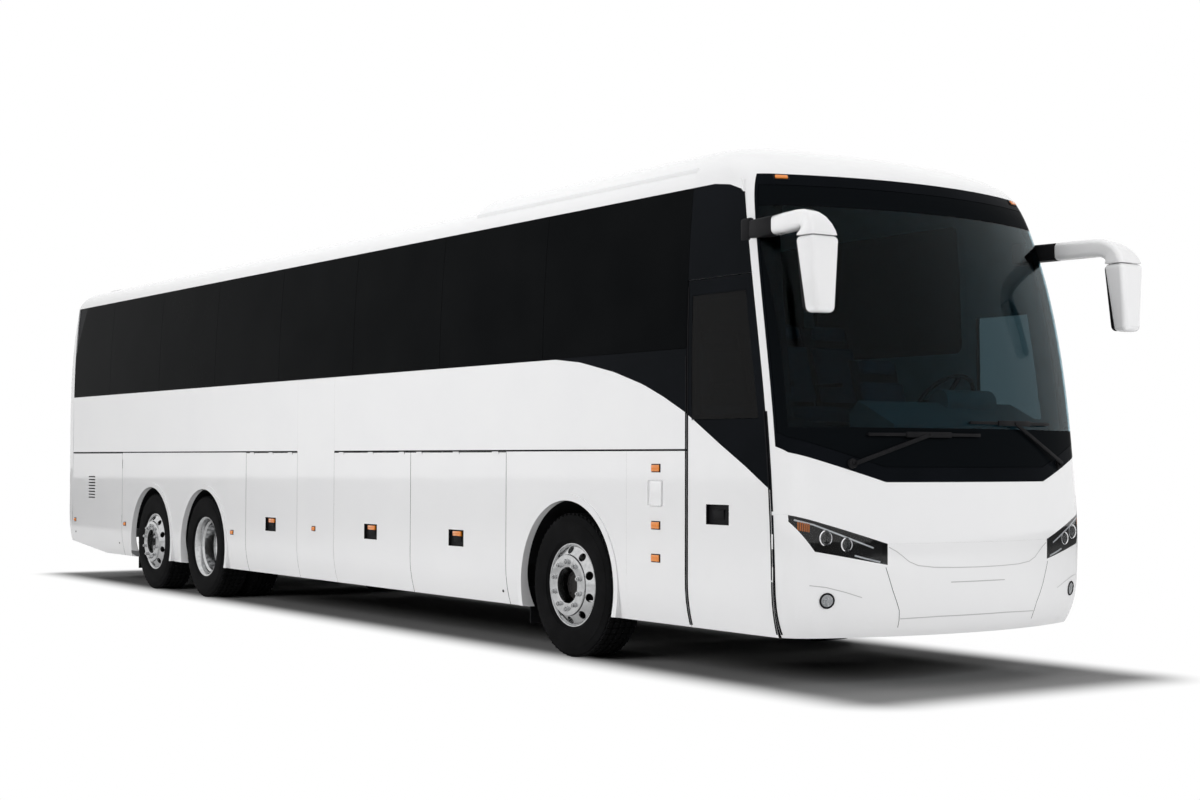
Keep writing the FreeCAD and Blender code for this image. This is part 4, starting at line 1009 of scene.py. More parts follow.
@dataclass(frozen=True)
class Studio:
    """A white floor with painted shadow near the bus, a white surround and soft lamps."""

    floor_radius: float = 120.0
    floor_bounce: Point = (0.84, 0.84, 0.84)
    # Painted shadow: the camera sees the floor near the bus much darker than the light it bounces.
    floor_shade: Point = (0.26, 0.26, 0.26)
    shadow_half: tuple[float, float] = (7.05, 1.08)
    fade_start: float = 0.0
    fade_end: float = 0.58
    ambient: float = 0.16
    lamps: tuple[tuple[str, Point, Point, tuple[float, float], float], ...] = (
        ("top_lamp", (0.0, 0.0, 11.0), (0.0, 0.0, 0.0), (16.0, 7.0), 710.0),
        ("side_lamp", (3.0, -15.0, 7.5), (0.0, 0.0, 1.5), (14.0, 6.0), 1350.0),
        ("front_lamp", (17.0, 2.0, 6.0), (6.0, 0.0, 1.5), (8.0, 6.0), 770.0),
        ("left_lamp", (-3.0, 14.0, 9.5), (0.0, 0.0, 1.5), (14.0, 4.0), 1000.0),
        ("rear_lamp", (-17.0, 0.0, 8.0), (-7.0, 0.0, 1.5), (8.0, 4.0), 640.0))

    def build(self) -> None:
        """Adds the floor, the surround and the lamps."""
        self.add_floor()
        self.add_surround()
        for lamp in self.lamps:
            self.add_lamp(*lamp)
        bpy.context.scene.view_settings.view_transform = "Standard"

    def add_floor(self) -> None:
        """Adds the floor, painted dark near the bus where the camera sees it to deepen its shadow, which
        fades to plain white away from the bus.
        """
        clear_selection()
        bpy.ops.mesh.primitive_circle_add(vertices=96, radius=self.floor_radius, fill_type="NGON")
        floor = bpy.context.object
        floor.name = "floor"
        sheet = Sheet("white_floor")
        sheet.set(Roughness=0.9, Specular_IOR_Level=0.0)
        beyond = []
        for axis, half in zip(sheet.axes(), self.shadow_half):
            past = sheet.math("SUBTRACT", sheet.math("ABSOLUTE", axis), half)
            beyond.append(sheet.math("POWER", sheet.math("MAXIMUM", past, 0.0), 2.0))
        away = sheet.math("SQRT", sheet.math("ADD", *beyond))
        fade = sheet.node("ShaderNodeMapRange", Value=away,
                          From_Min=self.fade_start, From_Max=self.fade_end)
        fade.interpolation_type = "SMOOTHSTEP"
        seen = sheet.tree.nodes.new("ShaderNodeLightPath").outputs["Is Camera Ray"]
        # Camera rays get the darker colour, a painted shadow near the bus that the fade takes away further
        # out.
        sheet.feed("Base Color", sheet.mix(seen, self.floor_bounce, self.floor_shade))
        share = sheet.math("MULTIPLY", fade.outputs[0], seen)
        white = sheet.node("ShaderNodeEmission", Color=(1.0, 1.0, 1.0, 1.0), Strength=1.0)
        both = sheet.tree.nodes.new("ShaderNodeMixShader")
        sheet.tree.links.new(share, both.inputs[0])
        sheet.tree.links.new(sheet.shader.outputs[0], both.inputs[1])
        sheet.tree.links.new(white.outputs[0], both.inputs[2])
        output = sheet.tree.nodes["Material Output"]
        sheet.tree.links.new(both.outputs[0], output.inputs["Surface"])
        floor.data.materials.append(sheet.material)

    def add_surround(self) -> None:
        """Makes the world plain white where it is seen, and softer where it lights."""
        world = bpy.data.worlds.new("white_surround")
        bpy.context.scene.world = world
        world.use_nodes = True
        tree = world.node_tree
        back = tree.nodes["Background"]
        back.inputs["Color"].default_value = (1.0, 1.0, 1.0, 1.0)
        path = tree.nodes.new("ShaderNodeLightPath")
        seen = path.outputs["Is Camera Ray"]
        for name in ("Is Glossy Ray", "Is Transmission Ray"):
            larger = tree.nodes.new("ShaderNodeMath")
            larger.operation = "MAXIMUM"
            tree.links.new(seen, larger.inputs[0])
            tree.links.new(path.outputs[name], larger.inputs[1])
            seen = larger.outputs[0]
        strength = tree.nodes.new("ShaderNodeMapRange")
        tree.links.new(seen, strength.inputs["Value"])
        strength.inputs["To Min"].default_value = self.ambient
        strength.inputs["To Max"].default_value = 1.0
        tree.links.new(strength.outputs[0], back.inputs["Strength"])

    def add_lamp(self, name: str, place: Point, target: Point, size: tuple[float, float],
                 power: float) -> None:
        """Adds a soft rectangular lamp.

        Args:
            name: The lamp's name.
            place: Where it hangs.
            target: The point that it faces.
            size: Its width and height.
            power: Its power in watts.
        """
        data = bpy.data.lights.new(name, "AREA")
        data.shape = "RECTANGLE"
        data.size, data.size_y = size
        data.energy = power
        lamp = bpy.data.objects.new(name, data)
        bpy.context.scene.collection.objects.link(lamp)
        way = Vector(place) - Vector(target)
        lamp.visible_glossy = False
        lamp.visible_transmission = False
        lamp.location = place
        lamp.rotation_euler = way.to_track_quat("Z", "Y").to_euler()


# Sub-assemblies


@dataclass
class Bodywork:
    """The outer panels, copied smooth from the frame, with their inside and edges."""

    layout: Layout
    banded: tuple[str, ...] = ("side_wall_right", "side_wall_left", "entrance_door")
    plain: tuple[str, ...] = ("roof_shell", "roof_fairing", "front_roof_cap", "nose_panel",
                              "bumper", "rear_cap", "rear_engine_door")
    cup_length: float = 0.236
    cup_height: float = 0.136
    cup_depth: float = 0.0265
    cup_slack: float = 0.003
    cup_floor: float = 1.250
    gap_reach: float = 0.05
    wall_lean: float = 0.6
    seal_setback: float = 0.0008
    front_setback: float = 0.0018
    skin_margin: tuple[float, float] = (0.0003, 0.004)
    cup_low: float = 0.722
    door_cup: tuple[float, float] = (1.742, 0.989)
    door_gap: float = 0.006
    seam_gap: float = 0.0078
    rear_seal: tuple[float, float] = (0.335, 2.52)
    front_seal: tuple[float, float] = (0.340, 1.700)
    front_curve: tuple[float, float, float] = (2.2947, 0.0492, 0.42)
    seal_width: float = 0.012
    seal_height: float = 0.0022
    seal_steps: tuple[int, int] = (28, 60)
    paddle_lean: float = math.radians(9.0)

    def build(self) -> None:
        """Dresses every panel, then adds the latches and the seals."""
        band = BAND_PAINT.build(self.layout.front_axle_x)
        flaps = sorted(node for node in frame["nodes"]
                       if node.startswith(("luggage_door", "engine_side_door")))
        for node in (*self.banded, *self.plain, *flaps):
            skin = copy_of_node(node, node + "_skin")
            outer = band if node in self.banded else material_of(PAINT)
            split_skin(skin, outer, self.layout)
            self.darken_cup(skin, node)
            if node in ("entrance_door", "nose_panel", "bumper"):
                self.darken_gap(skin)
            seat(skin, body_of_node(node), node)
        self.add_door_seals()
        self.add_latches()

    def cup_place(self, node: str) -> tuple[float, float] | None:
        """The middle along the bus and the lower edge of a door's latch cup, if it has one."""
        if node == "entrance_door":
            return self.layout.front_axle_x + self.door_cup[0], self.door_cup[1]
        if node.startswith("luggage_door"):
            low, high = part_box(node)
            return (low.x + high.x) / 2, self.cup_low
        return None

    def darken_cup(self, skin: Piece, node: str) -> None:
        """Gives the walls of a door's latch cup a black plastic lining.

        Args:
            skin: The dressed panel.
            node: The node that it stands for.
        """
        if self.cup_place(node) is None:
            return
        middle, low = self.cup_place(node)
        skin.data.materials.append(material_of(BLACK_PLASTIC))
        for face in skin.data.polygons:
            spot = face.center
            inside = (abs(spot.x - middle) < self.cup_length / 2 + self.cup_slack
                      and low - self.cup_slack < spot.z < low + self.cup_height + self.cup_slack)
            if inside and self.cup_floor < abs(spot.y) < self.layout.half_width - SKIN_SLACK:
                face.material_index = 3

    def darken_gap(self, skin: Piece) -> None:
        """Gives the walls of the gap before the entrance door the seals' rubber."""
        for face in skin.data.polygons:
            spot, normal = face.center, face.normal
            near_door = abs(spot.x - self.front_edge(spot.z)) < self.gap_reach
            if near_door and spot.y < -1.0 and abs(normal.x) > self.wall_lean:
                face.material_index = 2

    def add_door_seals(self) -> None:
        """Lays rubber strips along both sides of the gaps before and behind the entrance door."""
        door, wall, nose, bumper = (bpy.data.objects[name + "_skin"] for name in (
            "entrance_door", "side_wall_right", "nose_panel", "bumper"))
        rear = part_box("entrance_door")[0].x
        reach = self.seal_width / 2 + self.seal_setback
        low, high = self.rear_seal
        steps = self.seal_steps[0]
        for name, skin, x, body in (
                ("door_seal_rear", door, rear + reach, "entrance_door"),
                ("wall_seal_rear", wall, rear - self.door_gap - reach, "body")):
            self.lay_seal(name, skin, [(x, -1.5, low + (high - low) * step / steps)
                                       for step in range(steps + 1)], body)
        for name, skin, body, away in (
                ("door_seal_front", door, "entrance_door", -reach - self.front_setback),
                ("nose_seal_front", nose, "body", self.seam_gap + reach),
                ("bumper_seal_front", bumper, "body", self.seam_gap + reach)):
            self.lay_seal(name, skin, [(self.front_edge(z) + away, -1.6, z)
                                       for z in self.met_heights(skin, self.front_seal, away)], body)

    def met_heights(self, skin: Piece, span: tuple[float, float],
                    away: float) -> list[float]:
        """The heights of a span at which a skin lies beside the door's front edge.

        Args:
            skin: The skin that carries the seal.
            span: The lowest and highest place wanted.
            away: How far the seal's middle lies ahead of the door's edge.

        Returns:
            The heights, upwards.
        """
        low, high = span
        across, lift = self.skin_margin
        count, half = self.seal_steps[1], self.seal_width / 2 + across
        heights = []
        for step in range(count + 1):
            z = low + (high - low) * step / count
            edge = self.front_edge(z) + away
            spots = [meet(skin, (edge + side, -1.6, z + rise), (0.0, 1.0, 0.0))
                     for side in (-half, half) for rise in (-lift, lift)]
            if all(spot and spot[0].y < -1.1 for spot in spots):
                heights.append(z)
        return heights

    def front_edge(self, z: float) -> float:
        """Where the entrance door ends ahead at a height."""
        furthest, bend, height = self.front_curve
        return self.layout.front_axle_x + furthest - bend * (z - height) ** 2

    def lay_seal(self, name: str, skin: Piece, path: list[Point], body: str) -> None:
        """Lays one rubber strip on the right-hand side."""
        strip = lay_ribbon(name, skin, path, self.seal_width, self.seal_height, LEFTWARDS)
        fit(name, [strip], RUBBER, body)

    def add_latches(self) -> None:
        """Adds a paddle and a lock barrel to every latch cup, and a reflector to the luggage doors'."""
        pattern = self.make_paddle()
        lamp = add_block("reflector", (0.006, 0.010, 0.030), (0.128, 0.0185, 0.038), 0.004, 2)
        doors = sorted(node for node in frame["nodes"] if node.startswith("luggage_door"))
        for node in (*doors, "entrance_door"):
            side = Side.LEFT if node.endswith("left") else Side.RIGHT
            x, low = self.cup_place(node)
            place = (x, side.value * (self.layout.half_width - self.cup_depth), low + self.cup_height / 2)
            fit(node + "_latch", [copy_piece(pattern, node + "_latch", place, side.turn)],
                BLACK_PLASTIC, node)
            if node in doors:
                fit(node + "_reflector", [copy_piece(lamp, "reflector", place, side.turn)],
                    AMBER_LENS, node)
        drop_patterns(pattern, lamp)

    def make_paddle(self) -> Piece:
        """Models a latch paddle with its pivot and lock barrel, about the middle of its cup."""
        blade = add_block("paddle", (0.012, 0.0105, -0.006), (0.118, 0.007, 0.062), 0.003)
        with editing(blade):
            bpy.ops.transform.rotate(value=self.paddle_lean, orient_axis="X",
                                     center_override=(0.012, 0.0105, 0.025))
        pivot = add_drum("pivot", (0.012, 0.006, 0.027), 0.0045, 0.128, AHEAD, 20, 0.001)
        lock = add_drum("lock", (-0.078, 0.004, 0.0), 0.0125, 0.010, LEFTWARDS, 28, 0.0015)
        slot = add_block("slot", (-0.078, 0.0096, 0.0), (0.0022, 0.0016, 0.012), 0.0004, 1)
        back = add_block("back", (0.0, -0.0005, 0.0), (0.212, 0.003, 0.112), 0.0012)
        return join_pieces("paddle", [blade, pivot, lock, slot, back])


@dataclass
class Glazing:
    """The glass: nearly black panes down the sides and clearer ones round the driver."""

    layout: Layout
    cab_from: float = 1.3

    def build(self) -> None:
        """Copies the panes and gives each its glass."""
        for node in ("body_glass", "entrance_door_glass", "windscreen"):
            pane = copy_of_node(node, node + "_pane")
            give_finish(pane, SCREEN_GLASS if node == "windscreen" else SIDE_GLASS)
            if node != "windscreen":
                pane.data.materials.append(material_of(CAB_GLASS))
                for face in pane.data.polygons:
                    ahead = face.center.x > self.layout.front_axle_x + self.cab_from
                    face.material_index = 1 if ahead else 0
            seat(pane, body_of_node(node), node)


@dataclass
class Mirrors:
    """The two mirrors: arms with black roots, tapered white heads, dark backs and their glass."""

    layout: Layout
    root: Point = (2.000, 1.212, 2.838)
    dark: tuple[Station, ...] = ((2.000, 1.212, 2.838, 0.0, 0.116, 0.110),
                                 (2.286, 1.254, 2.838, 0.0, 0.116, 0.110))
    cover: tuple[Station, ...] = (
        (2.290, 1.254, 2.838, 0.0, 0.122, 0.112), (2.420, 1.276, 2.840, 0.0, 0.122, 0.114),
        (2.560, 1.300, 2.840, 3.0, 0.120, 0.118), (2.630, 1.312, 2.834, 14.0, 0.120, 0.124),
        (2.676, 1.322, 2.818, 30.0, 0.122, 0.138), (2.712, 1.330, 2.796, 48.0, 0.130, 0.158),
        (2.738, 1.338, 2.768, 68.0, 0.144, 0.184), (2.752, 1.343, 2.742, 84.0, 0.158, 0.208),
        (2.757, 1.345, 2.7215, 90.0, 0.164, 0.219))
    head_top: float = 2.718
    head_low: float = 2.264
    head_top_size: tuple[float, float] = (0.166, 0.221)
    head_low_size: tuple[float, float] = (0.110, 0.158)
    head_middle: tuple[float, float] = (2.760, 1.345)
    low_shift: tuple[float, float] = (0.028, 0.0)
    back_inset: float = 0.006
    back_length_share: float = 0.62
    back_step: float = 0.010
    panes: Path = ((2.560, 0.220), (2.378, 0.090))
    pane_width: tuple[float, float] = (0.180, 0.060)
    glass_lean: float = 0.049

    def build(self) -> None:
        """Models the left mirror's pieces, mirrors them and seats them."""
        white = [self.make_arm("arm", self.cover, 0.036), self.make_head("head", 0.0)]
        x, y, z = self.root
        base = add_block("base", self.layout.at(x - 0.012, y - 0.004, z), (0.100, 0.130, 0.150), 0.020, 4)
        dark = [self.make_arm("root", self.dark, 0.016), base, self.make_back()]
        rims, glasses = self.make_glass()
        for name, parts, finish, nodes in (
                ("mirror_covers", white, PAINT, ("mirrors",)),
                ("mirror_roots", dark, BLACK_PLASTIC, ()),
                ("mirror_rims", rims, BLACK_PLASTIC, ()),
                ("mirror_glasses", glasses, MIRROR_GLASS, ())):
            fit(name, parts, finish, nodes=nodes, mirrored=True)

    def make_arm(self, name: str, stations: tuple[Station, ...], rounding: float) -> Piece:
        """Extrudes a section through stations along the arm and rounds its long edges.

        Args:
            name: The piece's name.
            stations: Places from the front axle, with the section's tip angle, height and width.
            rounding: The long edges' rounding.

        Returns:
            The closed arm.
        """
        clear_selection()
        bpy.ops.mesh.primitive_plane_add(size=0.01)
        arm = bpy.context.object
        arm.name = name
        self.place_ring(arm, stations[0])
        for station in stations[1:]:
            bpy.ops.object.mode_set(mode="EDIT")
            bpy.ops.mesh.select_mode(type="FACE")
            bpy.ops.mesh.extrude_region_move(TRANSFORM_OT_translate={"value": (0.0, 0.0, 0.001)})
            bpy.ops.object.mode_set(mode="OBJECT")
            self.place_ring(arm, station)
        face_outwards(arm)
        round_edges(arm, lambda edge: edge.vertices[0] // 4 != edge.vertices[1] // 4, rounding, 6)
        ease_edges(arm, 0.003, 2)
        return arm

    def place_ring(self, arm: Piece, station: Station) -> None:
        """Moves the four points of the selected face to a station's section."""
        x, y, z, degrees, tall, wide = station
        tip = math.radians(degrees)
        up = Vector((math.sin(tip), 0.0, math.cos(tip))) * (tall / 2)
        across = Vector((0.0, wide / 2, 0.0))
        middle = Vector(self.layout.at(x, y, z))
        face = next(face for face in arm.data.polygons if face.select)
        corners = (-up - across, -up + across, up + across, up - across)
        for index, corner in zip(face.vertices, corners):
            arm.data.vertices[index].co = middle + corner

    def make_head(self, name: str, inset: float) -> Piece:
        """Models a head that narrows downwards.

        Args:
            name: The piece's name.
            inset: How far its faces lie inside the white cover's.

        Returns:
            The rounded head.
        """
        x, y = self.head_middle
        height = self.head_top - self.head_low - 2 * inset
        middle_z = (self.head_top + self.head_low) / 2
        long, wide = (size - 2 * inset for size in self.head_top_size)
        head = add_block(name, self.layout.at(x, y, middle_z), (long, wide, height))
        with editing(head, "DESELECT", "FACE"):
            pass
        for face in head.data.polygons:
            face.select = face.normal.z < -0.9
        bpy.ops.object.mode_set(mode="EDIT")
        shrink = [low / high for low, high in zip(self.head_low_size, self.head_top_size)]
        bpy.ops.transform.resize(value=(*shrink, 1.0))
        bpy.ops.transform.translate(value=(*self.low_shift, 0.0))
        bpy.ops.mesh.select_all(action="SELECT")
        bpy.ops.mesh.normals_make_consistent(inside=False)
        bpy.ops.object.mode_set(mode="OBJECT")
        ease_edges(head, 0.034, 6)
        return head

    def make_back(self) -> Piece:
        """Models the dark rear shell, a slice of the head set a little inwards and back."""
        back = self.make_head("back", self.back_inset)
        x, y = self.head_middle
        front = x - self.head_top_size[0] / 2 + self.back_step
        with editing(back):
            bpy.ops.transform.resize(value=(self.back_length_share, 1.0, 1.0),
                                     center_override=self.layout.at(front, y, self.head_top))
            bpy.ops.transform.translate(value=(-self.back_step - 0.002, 0.0, 0.0))
        return back

    def make_glass(self) -> tuple[list[Piece], list[Piece]]:
        """Models the rims and the two panes of glass of a head, facing backwards."""
        tall = self.head_top - self.head_low
        lean = math.atan2(self.glass_lean, tall)
        rear = self.head_middle[0] - self.head_top_size[0] / 2 - 0.001
        rims, panes = [], []
        for height, size in self.panes:
            drop = self.head_top - height
            narrow = self.pane_width[0] - self.pane_width[1] * drop / tall
            for kind, grow, depth, parts in (("rim", 0.010, 0.006, rims), ("pane", 0.0, 0.010, panes)):
                plate = add_block(kind, (0.0, 0.0, 0.0), (depth, narrow + grow, size + grow))
                round_corners(plate, 0, 0.022, 6)
                plate.rotation_euler = (0.0, -lean, 0.0)
                plate.location = self.layout.at(rear + drop * math.tan(lean) + 0.004,
                                                self.head_middle[1], height)
                parts.append(settle(plate))
        return rims, panes


@dataclass
class Wipers:
    """The two wipers: pivots, arms and blades with rubber edges."""

    layout: Layout
    lift: float = 0.030
    pivot: tuple[float, float] = (0.908, 1.378)
    blade_half: float = 0.42
    blades: tuple[tuple[float, float, float], ...] = ((-1.0, 0.38, 1.560), (1.0, 0.38, 1.640))
    steps: int = 10
    blade: Point = (0.020, 0.010, 0.026)
    spine: Point = (0.034, 0.014, 0.034)
    edge: Point = (0.005, 0.013, 0.014)
    arm: Point = (0.026, 0.012, 0.040)

    def build(self) -> None:
        """Builds the wipers in the places of the frame's own."""
        frame_skin = frame["nodes"]["windscreen_frame"]
        pane = frame["nodes"]["windscreen"]
        solids, edges = [], []
        for sign, middle_y, height in self.blades:
            pivot = self.on_glass((frame_skin, pane), sign * self.pivot[0], self.pivot[1])
            centre = self.on_glass((pane, frame_skin), sign * middle_y, height)
            line = [self.on_glass((pane, frame_skin),
                                  sign * middle_y + self.blade_half * (2 * step / self.steps - 1), height)
                    for step in range(self.steps + 1)]
            solids.append(self.make_bar("blade", line, *self.blade))
            solids.append(self.make_bar("spine", line[3:-3], *self.spine))
            edges.append(self.make_bar("edge", line, *self.edge))
            low = pivot + Vector((0.012, 0.0, 0.006))
            solids.append(self.make_bar("arm", [low, low.lerp(centre, 0.35), centre], *self.arm))
            out = Vector((1.0, 0.0, 0.25)).normalized()
            solids.append(add_drum("boss", tuple(pivot + out * 0.012), 0.030, 0.030, tuple(out), 28, 0.005))
            solids.append(add_drum("cap", tuple(pivot + out * 0.030), 0.016, 0.014, tuple(out), 24, 0.004))
            solids.append(add_drum("pin", tuple(centre + Vector((0.030, 0, 0))), 0.010, 0.024,
                                   AHEAD, 20, 0.002))
        fit("wiper_arms", solids, BLACK_PLASTIC, nodes=("wipers",))
        fit("wiper_edges", edges, RUBBER)

    def on_glass(self, skins: tuple[Piece, ...], y: float, z: float) -> Vector:
        """Finds the front face at a place across and a height."""
        for skin in skins:
            met = meet(skin, (self.layout.nose_x + PROBE_REACH, y, z), BACK)
            if met and met[0].x > self.layout.front_axle_x + 1.8:
                return met[0]
        raise ValueError(f"no glass at {y}, {z}")

    def make_bar(self, name: str, line: list[Vector], width: float, depth: float,
                 lift: float) -> Piece:
        """Makes a flat bar along a line, off the glass.

        Args:
            name: The bar's name.
            line: Places on the glass.
            width: The bar's width up and down.
            depth: Its depth along the bus.
            lift: How far its outer face stands off the glass.

        Returns:
            The bar.
        """
        bar = bridge_rows(name, [[tuple(spot + Vector((lift - depth, 0.0, sign * width)))
                                  for spot in line] for sign in (-0.5, 0.5)])
        with editing(bar):
            bpy.ops.mesh.extrude_region_move(TRANSFORM_OT_translate={"value": (depth, 0.0, 0.0)})
        face_outwards(bar)
        ease_edges(bar, min(width, depth) * 0.2, 2)
        return bar


@dataclass
class FrontLamps:
    """The headlamps and fog lamps, with what shows through their lenses."""

    layout: Layout
    projectors: tuple[tuple[float, float, float], ...] = ((1.080, 0.930, 0.050), (0.955, 0.890, 0.045))
    fog: tuple[float, float, float] = (1.070, 0.553, 0.0435)
    lamp_sink: float = 0.012
    upper_strip: Path = ((1.238, 1.040), (1.150, 1.012), (1.000, 0.952), (0.850, 0.893), (0.785, 0.868))
    lower_strip: Path = ((0.905, 0.824), (0.840, 0.806), (0.742, 0.783))

    def build(self) -> None:
        """Builds the lamps of the left side, mirrors them and seats them."""
        self.dress_block()
        rings, glasses = [], []
        for y, z, radius in self.projectors:
            spot = self.on_barrel(y, z)
            rings.append(add_ring(spot + Vector((0.002, 0.0, 0.0)), (0.0, math.pi / 2, 0.0),
                                  radius - 0.005, 0.0048, 48))
            glasses.append(self.make_bulb(spot, radius - 0.008))
        strips = [self.make_strip(path) for path in (self.upper_strip, self.lower_strip)]
        for name, parts, finish in (
                ("headlamp_rings", rings, CHROME),
                ("headlamp_projectors", glasses, CLEAR_LENS),
                ("headlamp_strips", strips, LIGHT_STRIP),
                ("headlamp_turn_lamps", self.make_corner(), AMBER_LENS)):
            fit(name, parts, finish, mirrored=True)
        self.add_fog()

    def dress_block(self) -> None:
        """Gives each headlamp a clear front and dark walls behind it."""
        block = copy_of_node("headlamps", "headlamps_skin")
        give_finish(block, CLEAR_LENS)
        block.data.materials.append(material_of(BLACK_PLASTIC))
        for face in block.data.polygons:
            before = self.behind(face.center.y, face.center.z)
            front = before is not None and abs(before.x - face.center.x) < 0.004 and face.normal.x > 0.3
            face.material_index = 0 if front else 1
        seat(block, "body", "headlamps")

    def behind(self, y: float, z: float) -> Vector | None:
        """The lamp block's front at a place, if it is met."""
        met = meet(frame["nodes"]["headlamps"], (self.layout.nose_x + PROBE_REACH, y, z), BACK)
        return met[0] if met else None

    def on_barrel(self, y: float, z: float) -> Vector:
        """The place of a projector's front edge, behind the lens."""
        return self.behind(y, z) - Vector((self.lamp_sink, 0.0, 0.0))

    def make_bulb(self, spot: Vector, radius: float) -> Piece:
        """A projector's bulging lens."""
        clear_selection()
        bpy.ops.mesh.primitive_uv_sphere_add(segments=32, ring_count=16, radius=radius, location=spot)
        bulb = bpy.context.object
        bulb.scale = (0.28, 1.0, 1.0)
        settle(bulb)
        bpy.ops.object.shade_smooth()
        return bulb

    def make_strip(self, path: Path) -> Piece:
        """A light strip that follows the inside of the lens."""
        lens = frame["nodes"]["headlamps"]
        ways = [(self.layout.nose_x + PROBE_REACH, y, z) for y, z in path]
        strip = lay_ribbon("strip", lens, ways, 0.010, 0.004, BACK)
        strip.location = (-0.013, 0.0, 0.0)
        return settle(strip)

    def make_corner(self) -> list[Piece]:
        """The ribs of the amber turn lamp in the outer corner, just behind the lens."""
        ribs = []
        for step in range(6):
            y, z = 1.172 + 0.010 * step, 0.992 + 0.002 * step
            front = min(self.behind(y, z + lift).x for lift in (-0.024, 0.0, 0.024))
            ribs.append(add_block("rib", (front - 0.012, y, z), (0.010, 0.0075, 0.052), 0.0018, 1))
        return ribs

    def add_fog(self) -> None:
        """Adds the fog lamps: dark bezels, bright bowls and bulbs."""
        y, z, radius = self.fog
        spot, out = meet(frame["nodes"]["bumper"], (self.layout.nose_x + PROBE_REACH, y, z), BACK)
        rims = [add_ring(spot + out * 0.001, out.to_track_quat("Z", "Y").to_euler(), radius, 0.0055, 56),
                add_drum("seat", tuple(spot), radius * 0.98, 0.003, tuple(out), 48)]
        bowls = [add_drum("bowl", tuple(spot + out * 0.0022), radius * 0.86, 0.003, tuple(out), 48, 0.001)]
        for share, size in ((0.0, 0.013), (0.52, 0.006), (-0.52, 0.006)):
            lift = out * 0.004 + Vector((0.0, share * radius, 0.0))
            bowls.append(add_drum("bulb", tuple(spot + lift), size, 0.004, tuple(out), 24, 0.0012))
        fit("fog_lamp_rims", rims, BLACK_PLASTIC, mirrored=True)
        fit("fog_lamp_reflectors", bowls, REFLECTOR, mirrored=True)


@dataclass
class NoseLines:
    """The seams and shaded lines of the nose, laid as hair-thin strips on its skins."""

    layout: Layout
    seam: Path = ((0.711, 0.750), (0.698, 0.715), (0.660, 0.610), (0.602, 0.484), (0.590, 0.420),
                  (0.586, 0.378))
    smile: Path = ((0.690, 0.872), (0.640, 0.846), (0.600, 0.818), (0.552, 0.782), (0.487, 0.757),
                   (0.371, 0.744), (0.200, 0.739), (0.0, 0.737))
    plate: Path = ((0.235, 0.649), (0.0, 0.649))
    fog_crease: Path = ((1.175, 0.646), (1.080, 0.634), (0.960, 0.602), (0.858, 0.569))
    lip: Path = ((0.585, 0.432), (0.300, 0.438), (0.0, 0.438))
    proud: float = 0.0006

    def build(self) -> None:
        """Lays every line on the left side, mirrors it and seats it."""
        skin = bpy.data.objects["bumper_skin"]
        for name, path, width, finish in (
                ("bumper_seams", self.seam, 0.0032, RUBBER),
                ("bumper_smile", self.smile, 0.0050, SHADE_LINE),
                ("bumper_plate_line", self.plate, 0.0060, SHADE_LINE),
                ("bumper_fog_crease", self.fog_crease, 0.0050, SHADE_LINE),
                ("bumper_lip_line", self.lip, 0.0060, SHADE_LINE)):
            places = [(self.layout.nose_x + PROBE_REACH, y, z) for y, z in self.finer(path)]
            places = [place for place in places if self.lies_on(skin, place)]
            line = lay_ribbon(name, skin, places, width, self.proud, BACK)
            fit(name, [line], finish, mirrored=True)

    def lies_on(self, skin: Piece, place: Point) -> bool:
        """True where the skin is met all round a place."""
        x, y, z = place
        return all(meet(skin, (x, y + across, z + up), BACK)
                   for across in (-0.006, 0.006) for up in (-0.006, 0.006))

    def finer(self, path: Path) -> list[tuple[float, float]]:
        """Adds places between those of a path."""
        steps = 4
        places = [tuple(here[axis] + (after[axis] - here[axis]) * step / steps for axis in (0, 1))
                  for here, after in zip(path, path[1:]) for step in range(steps)]
        return places + [path[-1]]


